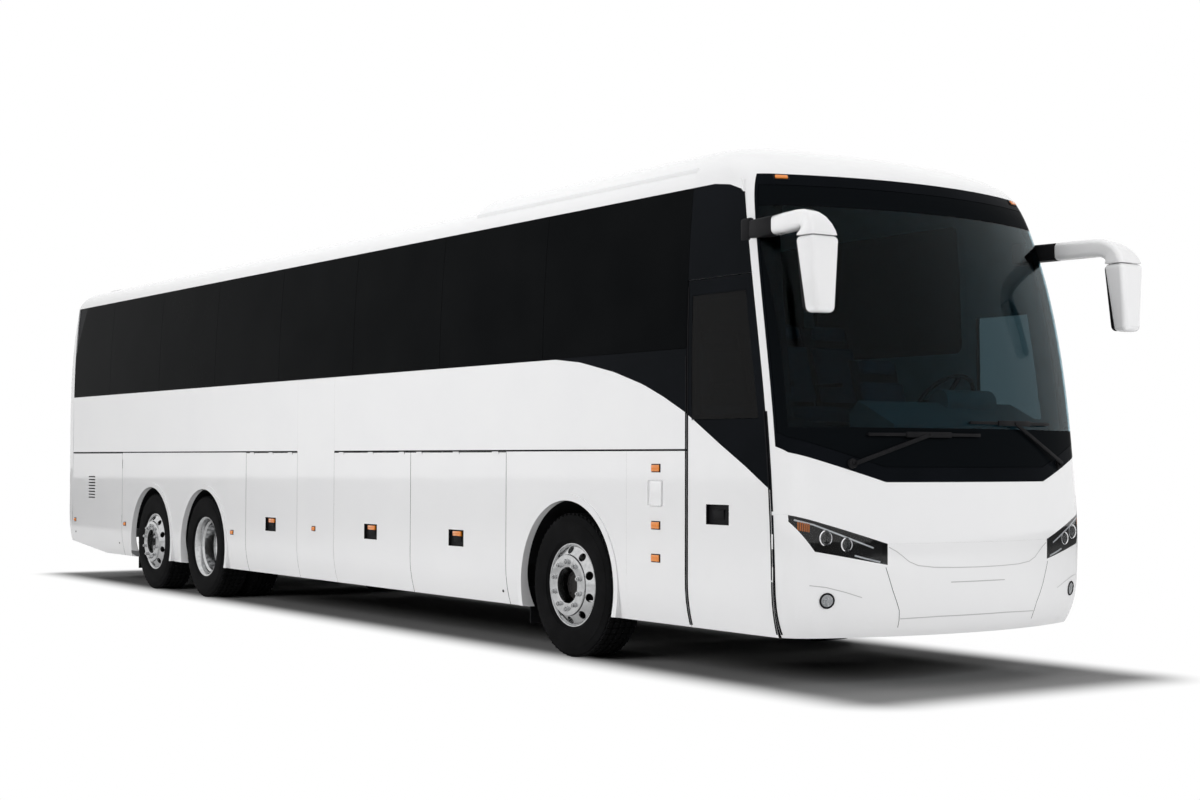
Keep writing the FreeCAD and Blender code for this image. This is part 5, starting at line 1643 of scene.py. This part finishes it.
@dataclass
class RearTrim:
    """The rear end's lamp cells, engine grille, blank plate recess and reflectors."""

    layout: Layout
    lamp_across: tuple[float, float] = (1.010, 1.190)
    lamp_heights: tuple[float, float] = (0.760, 1.380)
    grille_half: float = 0.62
    grille_heights: tuple[float, float] = (1.180, 1.500)
    slats: int = 14
    plate_half: float = 0.260
    plate_heights: tuple[float, float] = (0.830, 0.950)
    reflector: Point = (0.960, 0.700, 0.100)
    strip_height: float = 0.0030
    rim_width: float = 0.008
    latch_z: float = 0.720

    def build(self) -> None:
        """Builds every piece of the rear."""
        self.add_lamps()
        self.add_grille()
        self.add_plate()
        self.add_reflectors()

    def behind(self, skin: Piece, y: float, z: float) -> Vector:
        """The place on the rear of a skin."""
        return cast(skin, (self.layout.tail_x - PROBE_REACH, y, z), AHEAD)

    def lay_between(self, skin: Piece, here: tuple[float, float],
                    after: tuple[float, float], steps: int, width: float) -> Piece:
        """Lays a straight strip on the rear of a skin.

        Args:
            skin: The skin.
            here: Its first end, across and up.
            after: Its last end, across and up.
            steps: How many lengths it is laid in.
            width: Its width.

        Returns:
            The strip.
        """
        path = [(self.layout.tail_x - PROBE_REACH, here[0] + (after[0] - here[0]) * step / steps,
                 here[1] + (after[1] - here[1]) * step / steps) for step in range(steps + 1)]
        return lay_ribbon("strip", skin, path, width, self.strip_height, AHEAD)

    def add_lamps(self) -> None:
        """Dresses the lamps and lays a row of ribbed cells over each."""
        lamp = dress_node("tail_lamps", BLACK_PLASTIC)
        low, high = self.lamp_heights
        inner, outer = self.lamp_across
        cells = {"red": [], "amber": [], "clear": []}
        kinds = ("red", "amber", "clear", "red")
        step = (high - low) / len(kinds)
        for index, kind in enumerate(kinds):
            z, y = low + step * (index + 0.5), (inner + outer) / 2
            near = self.behind(lamp, inner + 0.02, z)
            far = self.behind(lamp, outer - 0.02, z)
            turn = math.atan2(far.x - near.x, far.y - near.y)
            middle = (near + far) / 2
            cell = add_block("cell", (0.0, 0.0, 0.0), (0.012, outer - inner - 0.024, step - 0.018), 0.004, 3)
            ribs = [add_block("rib", (-0.0066, 0.0, (share - 4.5) * (step - 0.030) / 10),
                              (0.0014, outer - inner - 0.036, 0.0035), 0.0005, 1) for share in range(10)]
            whole = join_pieces("cell", [cell] + ribs)
            whole.rotation_euler = (0.0, 0.0, -turn)
            whole.location = middle + Vector((0.0025, 0.0, 0.0))
            cells[kind].append(settle(whole))
        for kind, finish in (("red", RED_LENS), ("amber", AMBER_LENS),
                                     ("clear", CLEAR_LENS)):
            fit(f"tail_cells_{kind}", cells[kind], finish, mirrored=True)

    def add_grille(self) -> None:
        """Adds slats on the rear engine door."""
        door = bpy.data.objects["rear_engine_door_skin"]
        low, high = self.grille_heights
        pitch = (high - low) / self.slats
        half = self.grille_half
        bars = [self.lay_between(door, (-half, low + pitch * index), (half, low + pitch * index), 12,
                                 pitch * 0.5) for index in range(self.slats + 1)]
        fit("rear_grille_slats", bars, BLACK_PLASTIC, "rear_engine_door")

    def add_plate(self) -> None:
        """Adds the blank rim of the plate's place and the door's latch."""
        door = bpy.data.objects["rear_engine_door_skin"]
        low, high = self.plate_heights
        half = self.plate_half
        corners = ((-half, low), (half, low), (half, high), (-half, high))
        rims = [self.lay_between(door, here, after, 6, self.rim_width)
                for here, after in zip(corners, corners[1:] + corners[:1])]
        spot = self.behind(door, 0.0, self.latch_z)
        rims.append(add_drum("latch", tuple(spot), 0.028, 0.006, AHEAD, 40, 0.0015))
        rims.append(add_drum("lock", tuple(spot - Vector((0.002, 0.0, 0.0))), 0.012, 0.006,
                             AHEAD, 28, 0.001))
        fit("rear_plate_rim", rims, BLACK_PLASTIC, "rear_engine_door")

    def add_reflectors(self) -> None:
        """Adds a low red reflector in each corner."""
        y, z, length = self.reflector
        spot = self.behind(bpy.data.objects["rear_cap_skin"], y, z)
        piece = add_block("reflector", (spot.x + 0.001, y, z), (0.008, length, 0.034), 0.003, 3)
        fit("rear_reflectors", [piece], RED_LENS, mirrored=True)


@dataclass
class Seats:
    """The seats: padded cushions, backs and headrests on moulded shells."""

    layout: Layout
    voxel: float = 0.030
    frames: int = 14
    pressure: float = 4.0
    swell_limit: float = 0.014
    rounding_share: float = 0.3
    rows: int = 13
    first: float = 0.330
    pitch: float = 0.780
    floor: float = 1.350
    driver: Point = (1.240, 0.620, 1.050)
    places_across: tuple[float, float] = (0.4875, 0.9525)
    tilt: float = math.atan2(0.210, 0.680)
    pads: tuple[tuple[str, Point, Point, bool], ...] = (
        ("cushion", (0.290, 0.0, 0.382), (0.375, 0.425, 0.092), False),
        ("back", (0.000, 0.0, 0.700), (0.070, 0.415, 0.470), True),
        ("headrest", (-0.104, 0.0, 1.020), (0.060, 0.320, 0.120), True))
    shell: tuple[Point, Point] = ((-0.062, 0.0, 0.730), (0.022, 0.445, 0.700))
    # The pan, the armrests, their posts, the leg and the foot
    moulded: tuple[tuple[Point, Point, float, int], ...] = (
        ((0.235, 0.0, 0.312), (0.440, 0.440, 0.040), 0.014, 3),
        ((0.170, -0.222, 0.610), (0.270, 0.032, 0.034), 0.012, 3),
        ((0.170, 0.222, 0.610), (0.270, 0.032, 0.034), 0.012, 3),
        ((0.00049, -0.222, 0.560), (0.045, 0.026, 0.100), 0.009, 2),
        ((0.00049, 0.222, 0.560), (0.045, 0.026, 0.100), 0.009, 2),
        ((0.235, 0.0, 0.150), (0.070, 0.050, 0.292), 0.010, 2),
        ((0.235, 0.0, 0.009), (0.320, 0.070, 0.014), 0.004, 1))

    def build(self) -> None:
        """Models one place and copies it to every row and to the driver."""
        pad = join_pieces("pad", [self.puff(self.make_pad(*row)) for row in self.pads])
        shell = self.make_shell()
        spots = {side: [self.layout.at(self.first - self.pitch * row, side.value * y, self.floor)
                        for row in range(self.rows) for y in self.places_across] for side in Side}
        spots[Side.LEFT].append(self.layout.at(*self.driver))
        for side, places in spots.items():
            cushions = fit(f"seat_cushions_{side.word}",
                           [copy_piece(pad, "pad", place) for place in places], CLOTH)
            fit(f"seat_shells_{side.word}", [copy_piece(shell, "shell", place) for place in places],
                BLACK_PLASTIC, nodes=("seats",))
        drop_patterns(pad, shell)

    def make_pad(self, name: str, centre: Point, size: Point, leaned: bool) -> Piece:
        """Adds a rounded block, which may be leaned back."""
        block = add_block(name, (0.0, 0.0, 0.0), size, min(size) * self.rounding_share, 3)
        block.rotation_euler = (0.0, -self.tilt if leaned else 0.0, 0.0)
        block.location = centre
        return settle(block)

    def puff(self, pad: Piece) -> Piece:
        """Swells a pad with a short cloth simulation.

        Args:
            pad: The block to swell.

        Returns:
            The crowned pad, with the simulation applied.
        """
        apply_modifier(pad, "REMESH", mode="VOXEL", voxel_size=self.voxel)
        before = [vertex.co.copy() for vertex in pad.data.vertices]
        swell = pad.modifiers.new("swell", "CLOTH")
        swell.settings.use_pressure = True
        swell.settings.uniform_pressure_force = self.pressure
        swell.settings.effector_weights.gravity = 0.0
        scene = bpy.context.scene
        for number in range(1, self.frames + 1):
            scene.frame_set(number)
        pick(pad)
        bpy.ops.object.modifier_apply(modifier=swell.name)
        scene.frame_set(1)
        for vertex, start in zip(pad.data.vertices, before):
            step = vertex.co - start
            if step.length > self.swell_limit:
                vertex.co = start + step * (self.swell_limit / step.length)
        bpy.ops.object.shade_smooth()
        return pad

    def make_shell(self) -> Piece:
        """Models the moulded pan, back shell, armrests and leg of one place."""
        back = self.make_pad("shell", *self.shell, True)
        return join_pieces("shell", [back] + [add_block("part", *row) for row in self.moulded])


@dataclass
class SideTrim:
    """The small lamps, caps and flaps along both sides, and the lamps over the windscreen."""

    layout: Layout
    served_lens: Point = (0.088, 0.012, 0.044)
    marker_lens: Point = (0.062, 0.012, 0.034)
    service_x: float = 1.080
    service_heights: tuple[float, ...] = (1.345, 0.967, 0.750)
    bay_markers: Path = ((-5.976, 0.680), (-4.139, 0.776))
    rear_markers: Path = ((-8.969, 0.672), (-10.648, 0.674))
    caps: Path = ((-10.631, 0.532), (-9.167, 0.454), (-0.897, 0.415))
    flap: tuple[float, float] = (0.154, 0.172)
    flap_z: float = 1.180
    flap_radius: float = 0.016
    flap_steps: int = 5
    clearance: Point = (1.034, 3.180, 0.084)
    panels: tuple[str, ...] = ("side_wall", "luggage_door", "engine_side", "rear_cap")
    panel_depth: float = 0.12
    rib_spread: tuple[int, ...] = (-2, -1, 0, 1, 2)

    def build(self) -> None:
        """Adds every small piece to both sides."""
        patterns = {size: (self.make_lens(size), self.make_base(size))
                    for size in (self.served_lens, self.marker_lens)}
        served = [(self.service_x, z) for z in self.service_heights]
        for side in Side:
            lenses, bases, caps = [], [], []
            for x, z in (*served, *self.bay_markers, *self.rear_markers):
                spot = self.on_side(side, x, z)
                lens, base = patterns[self.served_lens if (x, z) in served else self.marker_lens]
                lenses.append(copy_piece(lens, "lens", spot, side.turn))
                bases.append(copy_piece(base, "base", spot, side.turn))
            for x, z in self.caps:
                caps.append(add_drum("cap", self.on_side(side, x, z), 0.011, 0.006, LEFTWARDS, 24, 0.0015))
            flap = add_block("flap", self.on_side(side, self.service_x, self.flap_z),
                             (self.flap[0], 0.0024, self.flap[1]))
            # The flap that the photograph shows stands proud, with every edge rounded
            if side is Side.RIGHT:
                round_edges(flap, lambda edge: True, self.flap_radius, self.flap_steps)
                smooth_active(35.0)
            else:
                round_corners(flap, 1, self.flap_radius, self.flap_steps)
            for name, parts, finish in (
                    ("side_lamps", lenses, AMBER_LENS),
                    ("side_lamp_bases", bases, BLACK_PLASTIC),
                    ("side_caps", caps, BLACK_PLASTIC),
                    ("service_flap", [flap], PAINT)):
                fit(f"{name}_{side.word}", parts, finish)
        for pair in patterns.values():
            drop_patterns(*pair)
        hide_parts("marker_lamps")
        self.add_clearance_lamps()

    def on_side(self, side: Side, x: float, z: float) -> Point:
        """Finds the outside of the panel that lies at a place.

        Args:
            side: The side of the bus.
            x: The place along the bus, from the front axle.
            z: Its height.

        Returns:
            The place on the panel.

        Raises:
            ValueError: If no panel lies there.
        """
        start = (self.layout.front_axle_x + x, side.value * 2.0, z)
        for piece in bpy.data.objects:
            if not piece.name.endswith("_skin") or not piece.name.startswith(self.panels):
                continue
            met = meet(piece, start, (0.0, -side.value, 0.0))
            if met and met[0].y * side.value > self.layout.half_width - self.panel_depth:
                return tuple(met[0])
        raise ValueError(f"no panel at {x}, {z}")

    def make_base(self, lens: Point) -> Piece:
        """Models the thin plate behind a lens."""
        return add_block("base", (0.0, 0.0015, 0.0), (lens[0] + 0.014, 0.003, lens[2] + 0.012),
                         0.0012, 1)

    def make_lens(self, size: Point) -> Piece:
        """Models a small ribbed lens, facing along Y."""
        length, depth, height = size
        body = add_block("lens", (0.0, 0.0065, 0.0), (length, 0.010, height), 0.004, 3)
        ribs = [add_block("rib", (length * 0.16 * step, 0.0116, 0.0), (0.0024, 0.0012, height * 0.62),
                          0.0005, 1) for step in self.rib_spread]
        return join_pieces("lens", [body] + ribs)

    def add_clearance_lamps(self) -> None:
        """Adds the two amber lamps over the windscreen."""
        y, z, length = self.clearance
        header = bpy.data.objects["windscreen_frame_skin"]
        spot, normal = meet(header, (self.layout.nose_x + PROBE_REACH, y, z), BACK)
        for name, size, shift, bevel, finish in (
                ("clearance_bases", (0.006, length + 0.026, 0.040), 0.001, 0.0028,
                 BLACK_PLASTIC),
                ("clearance_lamps", (0.014, length, 0.026), 0.006, 0.005, AMBER_LENS)):
            block = add_block(name, (0.0, 0.0, 0.0), size, bevel, 3)
            block.rotation_euler = normal.to_track_quat("X", "Z").to_euler()
            block.location = spot + normal * shift
            fit(name, [settle(block)], finish, mirrored=True)


@dataclass
class Wheels:
    """The wheels: one tyre, one rim, one set of nuts and two hubs, copied to every place."""

    layout: Layout
    tyre_half: float = 0.148
    tread_radius: float = 0.5099
    groove_radius: float = 0.4965
    bead_radius: float = 0.2856
    rim_radius: float = 0.298
    rim_half: float = 0.129
    disc_face: float = 0.17375
    disc_wall: float = 0.022
    bore_radius: float = 0.128
    ring_radius: float = 0.213
    band_radius: float = 0.277
    band_reach: float = 0.116
    nut_circle: float = 0.1675
    nuts: int = 10
    hand_holes: int = 10
    hand_hole_radius: float = 0.031
    hand_hole_circle: float = 0.246
    twin_pitch: float = 0.348
    front_recess: float = 0.064
    drive_reach: float = 0.070
    tread_blocks: int = 60
    tread_slant: float = math.radians(14.0)
    tread_rows: tuple[tuple[float, float], ...] = ((0.0, 0.038), (0.0515, 0.042), (-0.0515, 0.042),
                                                   (0.1035, 0.040), (-0.1035, 0.040))

    def build(self) -> None:
        """Builds the wheel pieces once and seats a copy at every wheel."""
        tyre = self.make_tyre()
        rim = self.make_rim()
        nuts = self.make_nuts()
        front_hub = self.make_hub(self.disc_face - self.front_recess, -0.05)
        drive_hub = self.make_hub(self.drive_reach - self.disc_face + self.disc_wall, -0.24)
        for side in Side:
            across = side.value * self.layout.wheel_y
            for kind, x in (("front", self.layout.front_axle_x), ("tag", self.layout.tag_axle_x)):
                place = (x, across, self.layout.wheel_z)
                parts = [copy_piece(part, "part", place, side.turn) for part in (rim, nuts)]
                self.seat_wheel(f"{kind}_wheel_{side.word}",
                                (f"{kind}_tyre_", f"{kind}_rim_", f"{kind}_hub_"), side,
                                [copy_piece(tyre, "tyre", place)], parts,
                                copy_piece(front_hub, "hub", place, side.turn))
            x, z = self.layout.drive_axle_x, self.layout.wheel_z
            inner = side.value * (self.layout.wheel_y - self.twin_pitch)
            studs = across + side.value * (self.disc_wall - 2 * self.disc_face)
            parts = [copy_piece(rim, "rim", (x, across, z), math.pi - side.turn),
                     copy_piece(rim, "rim", (x, inner, z), side.turn),
                     copy_piece(nuts, "nuts", (x, studs, z), side.turn)]
            self.seat_wheel(f"drive_wheels_{side.word}", ("drive_tyres_", "drive_rims_", "drive_hub_"),
                            side, [copy_piece(tyre, "tyre", (x, y, z)) for y in (across, inner)],
                            parts, copy_piece(drive_hub, "hub", (x, across, z), side.turn))
        drop_patterns(tyre, rim, nuts, front_hub, drive_hub)

    def seat_wheel(self, body: str, heads: tuple[str, str, str], side: Side,
                   tyres: list[Piece], metal: list[Piece],
                   hub: Piece) -> None:
        """Seats the tyres, the metal and the hub of one wheel body.

        Args:
            body: The body.
            heads: How the names of the tyre's node, the rim's node and the hub start.
            side: The side of the bus.
            tyres: The tyres, one or two.
            metal: The rims and nuts.
            hub: The hub.
        """
        tyre, rim, cap = (head + side.word for head in heads)
        fit(tyre + "_rubber", tyres, TYRE, body, (tyre,))
        fit(rim + "_metal", metal, ALLOY, body, (rim,))
        fit(cap, [hub], CHASSIS, body)

    def make_tyre(self) -> Piece:
        """Models a tyre with side rings and rows of tread blocks, about the origin."""
        wall = [(0.105, self.bead_radius), (0.119, self.bead_radius + 0.004), (0.1325, 0.302),
                (0.1400, 0.318), (0.1412, 0.322), (0.1440, 0.3225), (0.1445, 0.328),
                (0.1450, 0.333), (self.tyre_half - 0.0005, 0.372), (self.tyre_half - 0.0008, 0.410),
                (0.1448, 0.440), (0.1452, 0.4405), (0.1440, 0.4475), (0.1425, 0.448),
                (0.1395, 0.466), (0.1360, 0.482), (0.1310, 0.4935), (0.1250, self.groove_radius)]
        section = [(-across, radius) for across, radius in wall] + wall[::-1]
        tyre = turn_section("tyre", section, 112)
        pitch = 2 * math.pi * self.tread_radius / self.tread_blocks
        height = self.tread_radius - self.groove_radius
        rows = []
        for index, (across, width) in enumerate(self.tread_rows):
            centre = (0.0, across, self.tread_radius - height / 2 - 0.002)
            block = add_block("block", centre, (pitch * 0.9, width, height + 0.004), 0.0016, 1)
            with editing(block):
                bpy.ops.transform.rotate(value=self.tread_slant * (-1) ** index, orient_axis="Z",
                                         center_override=centre)
            repeat_round(block, self.tread_blocks)
            rows.append(block)
        return join_pieces("tyre", [tyre] + rows)

    def make_rim(self) -> Piece:
        """Models a forged rim about the origin, whose disc faces along Y."""
        half, lip, face = self.rim_half, self.rim_radius, self.disc_face
        back = face - self.disc_wall
        seat_radius = self.bead_radius - 0.0016
        well = [(-half, lip), (-half + 0.010, lip - 0.0005), (-half + 0.014, lip - 0.005),
                (-half + 0.016, seat_radius), (-0.060, seat_radius - 0.005), (-0.045, 0.2563),
                (0.045, 0.2563), (0.060, seat_radius - 0.005), (half - 0.016, seat_radius),
                (half - 0.014, lip - 0.005), (half - 0.010, lip - 0.0005), (half - 0.002, lip),
                (half, lip - 0.003), (half - 0.001, lip - 0.009), (half - 0.012, 0.282),
                (self.band_reach + 0.004, self.band_radius + 0.003),
                (self.band_reach + 0.012, self.band_radius - 0.004)]
        disc = [(face - 0.016, self.ring_radius + 0.006), (face - 0.006, self.ring_radius + 0.004),
                (face - 0.001, self.ring_radius + 0.0015), (face, self.ring_radius - 0.003),
                (face, self.bore_radius + 0.004), (face - 0.003, self.bore_radius),
                (back + 0.002, self.bore_radius), (back, self.bore_radius + 0.003),
                (back, self.ring_radius - 0.008), (back - 0.006, self.ring_radius),
                (self.band_reach - 0.022, self.band_radius - 0.016), (0.085, self.band_radius - 0.010),
                (0.062, 0.262), (0.045, 0.2445), (-0.045, 0.2445), (-0.062, 0.262),
                (-0.100, 0.270), (-half + 0.012, 0.278), (-half + 0.002, lip - 0.009),
                (-half, lip - 0.004), (-half, lip)]
        rim = turn_section("rim", well + disc, 120)
        middle = (self.disc_face + self.band_reach) / 2 - 0.01
        hole = add_drum("hole", (0.0, middle, self.hand_hole_circle), self.hand_hole_radius,
                        0.12, (0.0, 1.0, 0.55), 28)
        repeat_round(hole, self.hand_holes)
        cut_away(rim, hole)
        merge_and_smooth(rim, 32.0)
        return rim

    def make_nuts(self) -> Piece:
        """Models the ring of nuts on the disc's face, with their washers and studs."""
        whole = join_pieces("nuts", [
            add_drum("nut", (0.0, self.disc_face + reach, self.nut_circle), radius, length, LEFTWARDS,
                     sides, bevel)
            for reach, radius, length, sides, bevel in ((0.0025, 0.0205, 0.005, 24, 0.0012),
                                                        (0.0145, 0.0172, 0.021, 6, 0.0018),
                                                        (0.0235, 0.0092, 0.018, 16, 0.0012))])
        repeat_round(whole, self.nuts)
        return whole

    def make_hub(self, cap: float, back: float) -> Piece:
        """Models a hub with a domed, ribbed cap.

        Args:
            cap: How far along Y its cap reaches.
            back: How far back its barrel reaches.

        Returns:
            The hub, about the origin.
        """
        section = [(back, 0.118), (cap - 0.030, 0.118), (cap - 0.026, 0.116), (cap - 0.026, 0.108),
                   (cap - 0.012, 0.106), (cap - 0.008, 0.100), (cap - 0.008, 0.074),
                   (cap - 0.004, 0.070), (cap, 0.060), (cap + 0.001, 0.0)]
        hub = turn_section("hub", section, 48)
        bolt = add_drum("bolt", (0.0, cap - 0.004, 0.088), 0.0075, 0.010, LEFTWARDS, 6, 0.001)
        repeat_round(bolt, 8)
        return join_pieces("hub", [hub, bolt])


def body_of_node(node: str) -> str:
    """The name of the body that holds a node."""
    return frame["nodes"][node]["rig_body"]


def dress_node(node: str, finish: Coating) -> Piece:
    """Puts a smooth copy of a node in its place, with a finish."""
    piece = copy_of_node(node, node + "_skin")
    give_finish(piece, finish)
    return seat(piece, body_of_node(node), node)


def plain_finish(node: str) -> Coating | None:
    """The finish of a node that needs no more than a smooth copy, or None."""
    finishes = {"dashboard": DASH, "engine": IRON, "mud_flaps": RUBBER, "air_springs": RUBBER}
    moulded = ("steering_wheel", "wheel_liners", "cabin_floor", "driver_platform", "entrance_steps")
    steel = ("bay_tray", "front_frame", "rear_frame", "front_axle", "drive_axle", "tag_axle")
    finishes |= {name: BLACK_PLASTIC for name in moulded}
    finishes |= {name: CHASSIS for name in steel}
    return CHASSIS if "knuckle" in node else finishes.get(node)


def main() -> None:
    """Builds the camera, the stage and every sub-assembly."""
    logging.basicConfig(level=logging.INFO, format="%(name)s: %(message)s")
    layout = Layout.from_frame()
    PhotoCamera(layout.front_axle_x).build()
    Studio().build()
    log.info("axles at %.3f, %.3f and %.3f m", *layout.axle_places)
    for assembly in (Bodywork, Wheels):
        assembly(layout).build()
    dress_node("windscreen_frame", BLACK_GLOSS)
    for assembly in (Glazing, Mirrors, Wipers, FrontLamps, NoseLines, RearTrim, Seats, SideTrim):
        assembly(layout).build()
    for node in frame["nodes"]:
        if plain_finish(node):
            dress_node(node, plain_finish(node))


if __name__ == "__main__":
    main()
